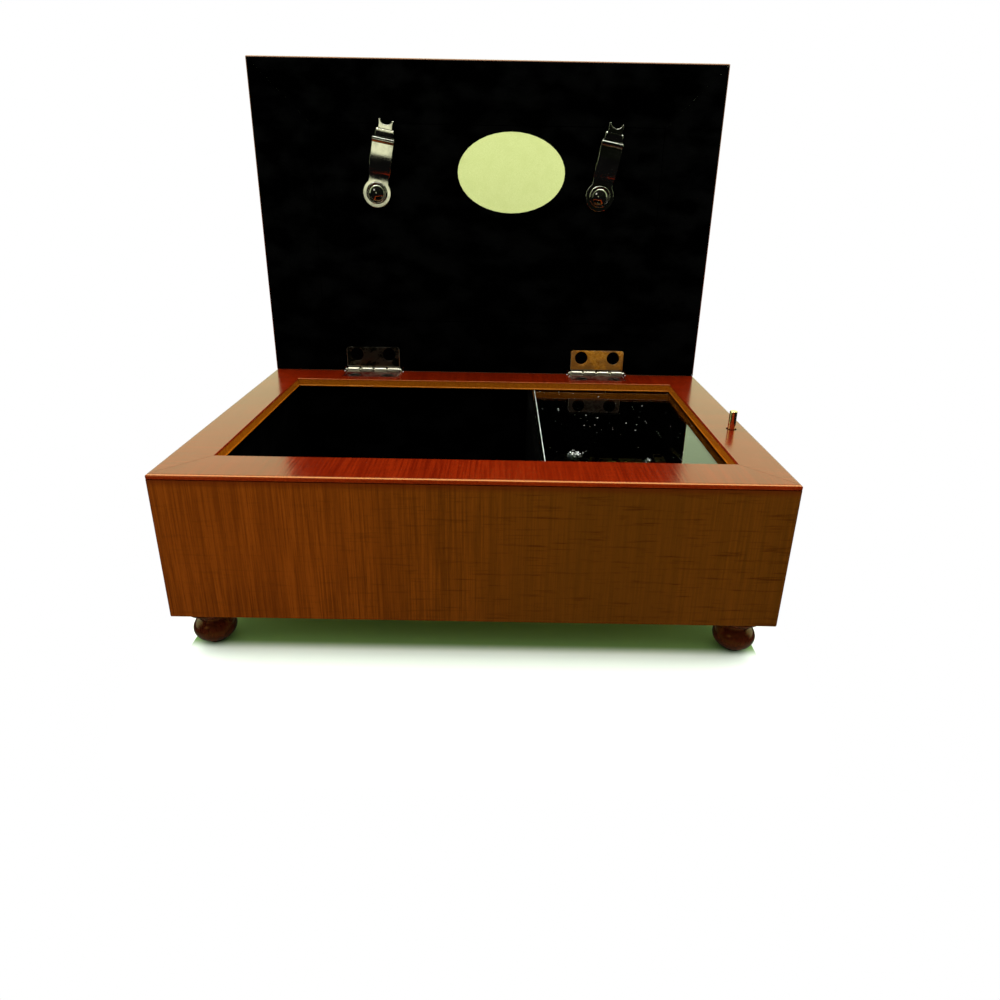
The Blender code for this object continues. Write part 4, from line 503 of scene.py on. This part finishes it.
def turned(profile, place=ORIGIN, around=48):
    """A closed shape spun from a profile of radius and height, in millimetres, and set on its place."""
    shape = bmesh.new()
    line = [shape.verts.new((radius * MM, 0.0, height * MM)) for radius, height in profile]
    for ends in zip(line, line[1:]):
        shape.edges.new(ends)
    bmesh.ops.spin(shape, geom=shape.verts[:] + shape.edges[:], cent=ORIGIN, axis=Z_AXIS, angle=tau,
                   steps=around, use_merge=True)
    bmesh.ops.remove_doubles(shape, verts=shape.verts, dist=WELD_GAP / 2)
    bmesh.ops.recalc_face_normals(shape, faces=shape.faces)
    bmesh.ops.translate(shape, vec=place, verts=shape.verts)
    return shape


def arc(radius_at, height_at, radius, start, end, count):
    """Points of an arc in a profile, its angles in degrees from outwards towards up."""
    angles = [radians(start + (end - start) * i / count) for i in range(count + 1)]
    return [(radius_at + radius * cos(angle), height_at + radius * sin(angle)) for angle in angles]


def cut_slot(shape, width, depth):
    """A screwdriver slot across the flat top of an upright turned head."""
    top = max(vert.co.z for vert in shape.verts)
    for side in (-width / 2, width / 2):
        score(shape, (0.0, side, 0.0), Y_AXIS)
    strip = [face for face in shape.faces if face.normal.z > 0.9
             and abs(face.calc_center_median().y) < width / 2
             and face.calc_center_median().z > top - 0.05 * MM]
    pull_up(shape, strip, -depth)
    bmesh.ops.delete(shape, geom=strip, context="FACES_KEEP_BOUNDARY")
    bmesh.ops.recalc_face_normals(shape, faces=shape.faces)


def plate(outline, holes, thickness, rounding):
    """A flat plate drawn on XY in millimetres, its underside at height 0, its upper outline rolled."""
    shape = bmesh.new()
    for loop in (outline, *holes):
        ring = [shape.verts.new((x * MM, y * MM, 0.0)) for x, y in loop]
        for ends in zip(ring, ring[1:] + ring[:1]):
            shape.edges.new(ends)
    bmesh.ops.triangle_fill(shape, edges=shape.edges, use_beauty=True)
    bmesh.ops.dissolve_limit(shape, angle_limit=FLAT_ANGLE, verts=shape.verts, edges=shape.edges)
    pull_up(shape, shape.faces[:], thickness * MM)
    bmesh.ops.recalc_face_normals(shape, faces=shape.faces)
    upper = [edge for edge in shape.edges
             if min(vert.co.z for vert in edge.verts) > (thickness - 0.01) * MM]
    roll_edges(shape, upper, rounding * MM, 4)
    return shape


def bend(shape, section):
    """Lift a flat plate to a section of distances along Y and heights, in millimetres."""
    for distance, _ in section:
        score(shape, (0.0, distance * MM, 0.0), Y_AXIS, dist=1e-8)
    for vert in shape.verts:
        vert.co.z += height_along(section, vert.co.y / MM) * MM


def height_along(section, distance):
    """A section's height at a distance, on straight lines between its points."""
    if distance <= section[0][0]:
        return section[0][1]
    for (start, low), (end, high) in zip(section, section[1:]):
        if distance <= end:
            return low + (high - low) * (distance - start) / (end - start)
    return section[-1][1]


# Pieces

SMOOTH_BELOW = 35.0      # degrees between faces, under which shading runs on over their edge
TURNED_SMOOTH_BELOW = 50.0
BROKEN_ABOVE = radians(32.0)


def body_of_node(node):
    return NODES[node]["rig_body"]


def add_piece(name, shape, material, nodes, smooth=SMOOTH_BELOW):
    """A finished piece that stands for CAD nodes and rides on their body."""
    mesh = bpy.data.meshes.new(name)
    shape.to_mesh(mesh)
    shape.free()
    mesh.materials.clear()
    mesh.materials.append(material)
    mesh.shade_smooth()
    mesh.set_sharp_from_angle(angle=radians(smooth))
    piece = bpy.data.objects.new(name, mesh)
    bpy.context.scene.collection.objects.link(piece)
    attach(piece, body_of_node(nodes[0]))
    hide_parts(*nodes)
    return piece


def keep_flats(piece):
    """Flat faces stay flat in shading beside the roundings that they run into."""
    weighted = piece.modifiers.new("flat_faces", "WEIGHTED_NORMAL")
    weighted.mode = "FACE_AREA"
    weighted.weight = 100
    weighted.keep_sharp = True


def soften(piece, width):
    """Broken edges, so that they catch the light."""
    bevel = piece.modifiers.new("broken_edges", "BEVEL")
    bevel.width = width
    bevel.segments = 2
    bevel.limit_method = "ANGLE"
    bevel.angle_limit = BROKEN_ABOVE
    bevel.use_clamp_overlap = True
    bevel.harden_normals = True


def dressed(node, name, material, edge=0.0):
    """A CAD node's own shape in its finish, with its edges broken to a width in millimetres."""
    piece = add_piece(name, merged_copy(node), material, [node])
    if edge:
        soften(piece, edge * MM)
    keep_flats(piece)


# Case

def foot_profile():
    """Flange, cove, neck ring and flattened ball, with the floor at height 0."""
    flange = [(0.0, 14.7), (8.3, 14.7)] + arc(8.2, 13.9, 0.8, 85, -75, 8)
    neck = [(7.4, 12.9), (6.9, 12.61244), (5.6, 11.7), (5.0, 10.9), (4.75, 9.9)]
    ball = [(7.3 * cos(radians(a)), 5.3 + 5.3 * sin(radians(a))) for a in range(48, -63, -5)]
    return flange + neck + ball + [(3.4, 0.0), (0.0, 0.0)]


def dress_feet(side, y):
    """The left and right foot under the front or the back."""
    for column, x in (("left", -FOOT_X), ("right", FOOT_X)):
        foot = "foot_" + side + "_" + column
        add_piece("turned_" + foot, turned(foot_profile(), (x, y, 0.0), around=64), FOOT_WOOD, [foot],
                  smooth=TURNED_SMOOTH_BELOW)


def dress_case():
    for side, rim_wood in (("front", RIM_WOOD_Y), ("back", RIM_WOOD_Y), ("left", RIM_WOOD_X),
                           ("right", RIM_WOOD_X)):
        dressed(side + "_wall", side + "_panel", WALL_WOOD, edge=0.1)
        dressed("rim_" + side, side + "_moulding", rim_wood)
        if side == "front":
            dress_feet(side, CASE_FRONT + FOOT_INSET)
        if side == "back":
            dress_feet(side, CASE_BACK - FOOT_INSET)
    dressed("base_board", "bottom_board", PLYWOOD, edge=0.1)
    dressed("compartment_liner", "compartment_flock", FLOCK, edge=0.4)
    dressed("well_liner", "well_flock", FLOCK, edge=0.4)
    dressed("glass_pane", "case_glass", CASE_GLASS, edge=0.05)


# Lid

def clip_section():
    """Flat eye, riser, grip that rises ever less, bead, dip, band, score line and flat fork."""
    grip = [(8.2 + 12.2 * i / 10, 0.35 + 1.3 * (1 - (1 - i / 10) ** 3.4)) for i in range(11)]
    bead = [(21.65 - cos(radians(a)), 1.5 + 0.6 * sin(radians(a))) for a in range(0, 181, 20)]
    return ([(6.9, 0.0)] + grip + [(20.55, 1.45)] + bead
            + [(22.75, 0.25), (23.9, 0.65), (26.0, 0.7), (26.15, 0.55), (26.35, 0.55), (26.5, 0.65)])


def clip_shape():
    """Spring clip, pointing along +Y from its rivet, before it is set on the lid."""
    eye = [(6.3 * sin(a), -6.3 * cos(a)) for a in (radians(-134 + 268 * i / 30) for i in range(31))]
    right = [(4.45, 6.9), (4.8, 7.9), (4.85, 8.2), (4.85, 22.6), (4.0, 23.3), (3.9, 26.1), (3.2, 26.5),
             (3.1, 28.2), (3.4, 30.1)]
    notch = [(2.5 * cos(a), 30.1 - 2.0 * sin(a)) for a in (radians(180 * i / 12) for i in range(13))]
    left = [(-x, y) for x, y in reversed(right)]
    hole = [(2.1 * cos(tau * i / 20), 2.1 * sin(tau * i / 20)) for i in range(20)]
    shape = plate(eye + right + notch + left, [hole], thickness=0.7, rounding=0.28)
    bend(shape, clip_section())
    return shape


def rivet_profile():
    """Dome inside a rolled ring, its seat at height 0, and its shank below."""
    dome = arc(0.0, -2.95, 4.9, 90, 47, 9)
    dome[0] = (0.0, dome[0][1])
    ring = arc(4.2, 0.45, 0.4, 150, -20, 8)
    shank = [(1.8, 0.0), (1.8, -5.0), (0.0, -5.0)]
    return dome + [(3.6, 0.3)] + ring + [(4.7, 0.2), (4.7, 0.0)] + shank


def place_on_lid(shape, x, tilt, height):
    """Set a shape drawn on XY on the open lid's face: its +Y up, its +Z towards the camera's side."""
    turn = Matrix.Rotation(tilt, 4, "Y") @ Matrix.Rotation(radians(90), 4, "X")
    place = Matrix.Translation((x, LID_FACE - height, CLIP_Z))
    bmesh.ops.transform(shape, matrix=place @ turn, verts=shape.verts)
    return shape


def dress_lid():
    for side, wood in (("front", LID_WOOD_X), ("back", LID_WOOD_X), ("left", LID_WOOD_Z),
                       ("right", LID_WOOD_Z)):
        dressed("lid_rail_" + side, "lid_frame_" + side, wood)
    dressed("lid_panel", "lid_flock_panel", FLOCK, edge=0.2)
    dressed("picture_glass", "lid_glass", PICTURE_GLASS, edge=0.2)
    dressed("picture_card", "mount_board", CARD)
    dressed("oval_label", "bare_oval_label", PAPER)
    for side, x in (("left", CLIP_LEFT_X), ("right", CLIP_RIGHT_X)):
        clip = place_on_lid(clip_shape(), x, CLIP_TILT, CLIP_SEAT)
        keep_flats(add_piece("spring_clip_" + side, clip, NICKEL, ["clip_" + side]))
        rivet = place_on_lid(turned(rivet_profile()), x, 0.0, RIVET_SEAT)
        add_piece("domed_rivet_" + side, rivet, NICKEL, ["rivet_" + side],
                  smooth=TURNED_SMOOTH_BELOW)


# Hinges

LEAF_ROLL = 0.24 * MM      # width of the rolled edge round a leaf
SCREW_ZONE = 3.7 * MM      # round a screw head's middle, where edges stay sharp
LEAF_FROM_AXIS = 2.0 * MM      # the leaf is further from the axis than this, and the knuckles nearer
KNUCKLE_RADIUS = 1.6 * MM
KNUCKLE_END = 0.5 * MM      # how far from its end a knuckle starts to narrow
KNUCKLE_NARROWING = 0.34


def screw_heads(side):
    """Middles of the screw heads of one hinge: two in the case leaf, two in the lid leaf."""
    x = HINGE_X if side == "right" else -HINGE_X
    for index, aside in (("1", -LEAF_SCREW_X), ("2", LEAF_SCREW_X)):
        yield ("case", index, Vector((x + aside, HINGE_Y - LEAF_SCREW_OUT, HINGE_Z - LEAF_OFFSET)),
               Z_AXIS)
        yield ("lid", index, Vector((x + aside, LEAF_FACE + 0.02 * MM, HINGE_Z + LEAF_SCREW_OUT)),
               (0.0, -1.0, 0.0))


def raise_leaf(shape):
    """Bring the lid leaf's face just proud of the lid, clear of its knuckles."""
    for height in (1.75 * MM, 2.1 * MM):
        score(shape, (0.0, 0.0, HINGE_Z + height), Z_AXIS)
    for vert in shape.verts:
        on_face = abs(vert.co.y - HINGE_Y - LEAF_OFFSET) < 0.05 * MM
        if on_face and vert.co.z > HINGE_Z + LEAF_FROM_AXIS:
            vert.co.y = LEAF_FACE


def round_leaf_edges(shape, side):
    """Roll the leaf's outline, narrow the ends of its knuckles, and leave the screw holes sharp."""
    heads = [place for _, _, place, _ in screw_heads(side)]
    axis = Vector((0.0, HINGE_Y, HINGE_Z))
    from_side = Vector((0.0, 1.0, 1.0))
    outline, ends = [], []
    for edge in shape.edges:
        middle = (edge.verts[0].co + edge.verts[1].co) / 2
        near_head = min((middle - head).length for head in heads) < SCREW_ZONE
        if near_head or len(edge.link_faces) != 2 or edge.calc_face_angle(0.0) < radians(60):
            continue
        from_axis = ((middle - axis) * from_side).length
        if from_axis > LEAF_FROM_AXIS:
            outline.append(edge)
        elif from_axis > KNUCKLE_RADIUS - 0.15 * MM:
            ends.append(edge)
    stations = sorted({round(edge.verts[0].co.x / MM, 2) * MM for edge in ends})
    roll_edges(shape, outline, LEAF_ROLL, 3)
    for station in stations:
        for step in (-KNUCKLE_END, KNUCKLE_END):
            score(shape, (station + step, 0.0, 0.0), X_AXIS)
    for vert in shape.verts:
        out = (vert.co - axis) * from_side
        at_end = min(abs(vert.co.x - station) for station in stations) < 0.03 * MM
        if at_end and abs(out.length - KNUCKLE_RADIUS) < 0.1 * MM:
            vert.co -= out * KNUCKLE_NARROWING


def screw_shape(place, facing):
    """Countersunk screw whose slotted head fills its hole in the leaf, each slot turned its own way."""
    profile = [(0.0, 0.0), (2.95, 0.0), (3.05, -0.1), (1.2, -1.3), (1.1, -7.0), (0.0, -8.0)]
    shape = turned(profile, around=40)
    cut_slot(shape, 0.7 * MM, 0.6 * MM)
    turn = Vector(facing).to_track_quat("Z", "Y").to_matrix().to_4x4()
    twist = Matrix.Rotation(radians(35.0 + 4000.0 * place.x), 4, "Z")
    bmesh.ops.transform(shape, matrix=Matrix.Translation(place) @ turn @ twist, verts=shape.verts)
    return shape


def dress_hinges():
    for side, lid_metal in (("left", PAINTED_BLACK_REFLECTION_LEAF), ("right", PAINTED_WOOD_REFLECTION_LEAF)):
        hinge = "hinge_" + side
        for leaf, metal in (("case_leaf", PAINTED_RED_REFLECTION_LEAF), ("lid_leaf", lid_metal)):
            shape = merged_copy(hinge + "_" + leaf)
            if leaf == "lid_leaf":
                raise_leaf(shape)
            round_leaf_edges(shape, side)
            keep_flats(add_piece(hinge + "_" + leaf + "_plate", shape, metal, [hinge + "_" + leaf]))
        dressed(hinge + "_pin", hinge + "_knuckle_pin", NICKEL)
        for leaf, index, place, facing in screw_heads(side):
            screw = hinge + "_" + leaf + "_screw_" + index
            add_piece(screw + "_slotted", screw_shape(place, facing), SCREW_BLACK, [screw],
                      smooth=40.0)


# Movement and stop pin

def dress_movement():
    for node, name, material, slot, edge in (
            ("movement_bedplate", "cast_bedplate", ZINC, "zinc", 0.15),
            ("comb", "tuned_comb", STEEL, "steel", 0.05),
            ("comb_screw_1", "comb_screw_left", STEEL, "steel", 0.0),
            ("comb_screw_2", "comb_screw_right", STEEL, "steel", 0.0),
            ("movement_screw_1", "base_screw_front", STEEL, "steel", 0.0),
            ("movement_screw_2", "base_screw_back", STEEL, "steel", 0.0),
            ("spring_barrel", "spring_drum", BRASS, "brass", 0.0),
            ("crown_wheel", "crown_gear", BRASS, "brass", 0.0),
            ("winding_arbor", "winding_shaft", STEEL, "steel", 0.0),
            ("winding_key", "butterfly_key", NICKEL, "nickel", 0.3),
            ("pinned_cylinder", "music_cylinder", BRASS, "brass", 0.0),
            ("train_wheel", "train_gears", BRASS, "brass", 0.0),
            ("governor_fly", "air_brake", BRASS, "brass", 0.0),
            ("governor_bracket", "governor_cock", BRASS, "brass", 0.1),
            ("stop_spring", "stop_pin_spring", STEEL, "steel", 0.0)):
        dressed(node, name, material, edge)


def dress_stop_pin():
    """The pin's round top above the rim, joined to its own lower part and arm."""
    shape = merged_copy("stop_rod")
    score(shape, (0.0, 0.0, RIM_TOP - 1.0 * MM), Z_AXIS, clear_outer=True)
    bmesh.ops.holes_fill(shape, edges=[edge for edge in shape.edges if edge.is_boundary], sides=0)
    tip = [(0.0, 74.2)] + arc(1.0, 73.8, 0.4, 90, 0, 6)
    top = turned(tip + [(1.4, 65.9), (0.0, 65.9)], STOP_PLACE)
    mesh = bpy.data.meshes.new("stop_pin_top")
    top.to_mesh(mesh)
    top.free()
    shape.from_mesh(mesh)
    bpy.data.meshes.remove(mesh)
    keep_flats(add_piece("stop_pin", shape, WARM_NICKEL, ["stop_rod"]))


# Stage

FLOOR_RADIUS = 6.0
FLOOR_COLOUR = "#F2FDEE"
FLOOR_PAINTED_SHADOW = "#739655"      # painted shadow, only under the case
FLOOR_CORE_INSET = 12.0 * MM      # the case's footprint less this at its sides keeps all its shadow
FLOOR_SIDE_STRETCH = (2.6, 1.0, 1.0)      # distances from there count for more along X
FLOOR_PAINTED_SHADOW_STARTS = (3.0 * MM, 9.0 * MM)      # where the painted shadow starts, as distances behind the case's front
FLOOR_WHITENS = (26.0 * MM, 56.0 * MM)      # distances from the footprint
FLOOR_MIRROR_FADES = (15.0 * MM, 75.0 * MM)
WORLD_FAR_SIDE = (-0.35, 0.1)      # shares of the way along Y between which the studio gets bright
WORLD_OVERHEAD = (0.4, 0.85)      # and along Z
WORLD_OVERHEAD_IN_MIRRORS = (-0.4, 0.0)      # and along Y overhead
WORLD_BRIGHT = 0.95
WORLD_DARK = 0.03
WORLD_DARK_IN_MIRRORS = 0.1 * WORLD_DARK
WORLD_BOOST = 2.6
WORLD_BOOST_IN_MIRRORS = 1.35

# Name, place, what it points at, width, height, watts and colour
LAMPS = (
    ("overhead_strip", (0.0, 0.12, 1.1), (0.0, -0.05, 0.0), 1.5, 0.4, 14.0, "#FFFFFF"),
    ("fill_box", (-0.75, -0.95, 0.85), (0.0, 0.0, 0.1), 0.35, 0.35, 0.35, "#FFFFFF"),
    ("clip_box", (-0.305, -1.45, 0.215), (-0.05, 0.06, 0.16), 0.15, 0.22, 0.115, "#FAFFDC"))


def add_camera():
    camera = bpy.data.objects.new("camera", bpy.data.cameras.new("camera"))
    bpy.context.scene.collection.objects.link(camera)
    forward = Vector((sin(CAMERA_YAW) * cos(CAMERA_PITCH), cos(CAMERA_YAW) * cos(CAMERA_PITCH),
                      -sin(CAMERA_PITCH)))
    level = Vector((cos(CAMERA_YAW), -sin(CAMERA_YAW), 0.0))
    upright = level.cross(forward)
    right = cos(CAMERA_ROLL) * level + sin(CAMERA_ROLL) * upright
    up = cos(CAMERA_ROLL) * upright - sin(CAMERA_ROLL) * level
    turn = Matrix((right, up, -forward)).transposed().to_4x4()
    camera.matrix_world = Matrix.Translation(CAMERA_PLACE) @ turn
    camera.data.sensor_width = CAMERA_SENSOR
    camera.data.lens = CAMERA_LENS
    camera.data.shift_y = CAMERA_SHIFT_Y
    camera.data.clip_start = CAMERA_NEAREST
    camera.data.clip_end = CAMERA_FARTHEST
    bpy.context.scene.camera = camera


def add_lamp(name, place, target, width, height, power, colour):
    data = bpy.data.lights.new(name, "AREA")
    data.shape = "RECTANGLE"
    data.size = width
    data.size_y = height
    data.energy = power
    data.color = paint(colour)[:3]
    lamp = bpy.data.objects.new(name, data)
    bpy.context.scene.collection.objects.link(lamp)
    lamp.location = place
    lamp.rotation_euler = (Vector(target) - Vector(place)).to_track_quat("-Z", "Y").to_euler()


def distance_from_case(tree):
    """How far a point of the floor is from the case's footprint, which is taken in at the sides."""
    place = add(tree, "TexCoord").outputs["Object"]
    centred = add(tree, "VectorMath", {0: place, 1: (0.0, -CASE_FRONT - CASE_HALF_DEPTH, 0.0)},
                  operation="ADD")
    folded = add(tree, "VectorMath", {0: centred}, operation="ABSOLUTE")
    beyond = add(tree, "VectorMath", {0: folded, 1: (CASE_SIDE - FLOOR_CORE_INSET, CASE_HALF_DEPTH, 0.0)},
                 operation="SUBTRACT")
    beyond = add(tree, "VectorMath", {0: beyond, 1: ORIGIN}, operation="MAXIMUM")
    beyond = add(tree, "VectorMath", {0: beyond, 1: FLOOR_SIDE_STRETCH}, operation="MULTIPLY")
    return add(tree, "VectorMath", {0: beyond}, operation="LENGTH")


def floor_paper():
    """White paper with a painted green shadow under the case, plain white far from it, and dim in mirrors.
    """
    material, tree = start_material("white_paper_floor")
    rays = add(tree, "LightPath").outputs
    away = distance_from_case(tree)
    # Painted shadow: the floor turns green-grey behind the case's front, inside its footprint.
    under = add(tree, "MapRange", {"Value": places(tree)[1],
                                   "From Min": CASE_FRONT + FLOOR_PAINTED_SHADOW_STARTS[0],
                                   "From Max": CASE_FRONT + FLOOR_PAINTED_SHADOW_STARTS[1]}, **SMOOTH)
    covered = inside_box(tree, (CASE_SIDE - 3.0 * MM, -CASE_FRONT, 1.0 * MM), (0.0, -6.0 * MM, 0.0))
    under = add(tree, "Math", {0: under, 1: covered}, operation="MULTIPLY")
    tone = add(tree, "Mix", {"Factor": under, "A": paint(FLOOR_COLOUR), "B": paint(FLOOR_PAINTED_SHADOW)}, **COLOUR)
    paper = add(tree, "BsdfPrincipled", {"Base Color": tone, "Roughness": 1.0, "Specular IOR Level": 0.0})
    white = add(tree, "Emission", {"Color": paint("#FFFFFF"), "Strength": 1.0})
    far = add(tree, "MapRange", {"Value": away, "From Min": FLOOR_WHITENS[0],
                                 "From Max": FLOOR_WHITENS[1]}, **SMOOTH)
    share = add(tree, "Math", {0: far, 1: rays["Is Camera Ray"]}, operation="MULTIPLY")
    seen = add(tree, "MixShader", {0: share, 1: paper, 2: white})
    dim = add(tree, "BsdfDiffuse", {"Color": toned(tree, paint("#5A6657"), paint("#050505"), away,
                                                   *FLOOR_MIRROR_FADES)})
    return finish_material(material, add(tree, "MixShader", {0: rays["Is Glossy Ray"], 1: seen, 2: dim}))


def add_floor():
    shape = bmesh.new()
    bmesh.ops.create_circle(shape, cap_ends=True, segments=64, radius=FLOOR_RADIUS)
    mesh = bpy.data.meshes.new("floor")
    shape.to_mesh(mesh)
    shape.free()
    floor = bpy.data.objects.new("floor", mesh)
    bpy.context.scene.collection.objects.link(floor)
    mesh.materials.append(floor_paper())


def set_world():
    """A white studio, dark low down on the camera's side, and plain white where it is seen."""
    world = bpy.data.worlds.new("studio")
    bpy.context.scene.world = world
    world.use_nodes = True
    tree = world.node_tree
    tree.nodes.clear()
    _, y, z = add(tree, "SeparateXYZ", {0: add(tree, "TexCoord").outputs["Generated"]}).outputs
    rays = add(tree, "LightPath").outputs
    mirrored = rays["Is Glossy Ray"]
    behind = add(tree, "MapRange", {"Value": y, "From Min": WORLD_FAR_SIDE[0],
                                    "From Max": WORLD_FAR_SIDE[1]}, **SMOOTH)
    above = add(tree, "MapRange", {"Value": z, "From Min": WORLD_OVERHEAD[0],
                                   "From Max": WORLD_OVERHEAD[1]}, **SMOOTH)
    overhead = add(tree, "MapRange", {"Value": y, "From Min": WORLD_OVERHEAD_IN_MIRRORS[0],
                                      "From Max": WORLD_OVERHEAD_IN_MIRRORS[1]}, **SMOOTH)
    overhead = add(tree, "Math", {0: overhead, 1: above}, operation="MULTIPLY")
    above = add(tree, "Mix", {"Factor": mirrored, "A": above, "B": overhead})
    lit = add(tree, "Math", {0: behind, 1: above}, operation="MAXIMUM")
    bright = add(tree, "MapRange", {"Value": lit, "To Max": WORLD_BRIGHT})
    dark = add(tree, "MapRange", {"Value": mirrored, "To Min": WORLD_DARK,
                                  "To Max": WORLD_DARK_IN_MIRRORS})
    level = add(tree, "Math", {0: bright, 1: dark}, operation="ADD")
    boost = add(tree, "MapRange", {"Value": mirrored, "To Min": WORLD_BOOST,
                                   "To Max": WORLD_BOOST_IN_MIRRORS})
    level = add(tree, "Math", {0: level, 1: boost}, operation="MULTIPLY")
    tint = add(tree, "Mix", {"Factor": mirrored, "A": paint("#FFFFFF"), "B": paint("#EBFFCB")}, **COLOUR)
    glow = add(tree, "Background", {"Color": tint, "Strength": level})
    seen = add(tree, "Background", {"Color": paint("#FFFFFF"), "Strength": 1.0})
    mixed = add(tree, "MixShader", {0: rays["Is Camera Ray"], 1: glow, 2: seen})
    add(tree, "OutputWorld", {"Surface": mixed})


def set_stage():
    add_camera()
    add_floor()
    set_world()
    for lamp in LAMPS:
        add_lamp(*lamp)
    bpy.context.scene.view_settings.view_transform = "Standard"


dress_case()
dress_lid()
dress_hinges()
dress_movement()
dress_stop_pin()
set_stage()
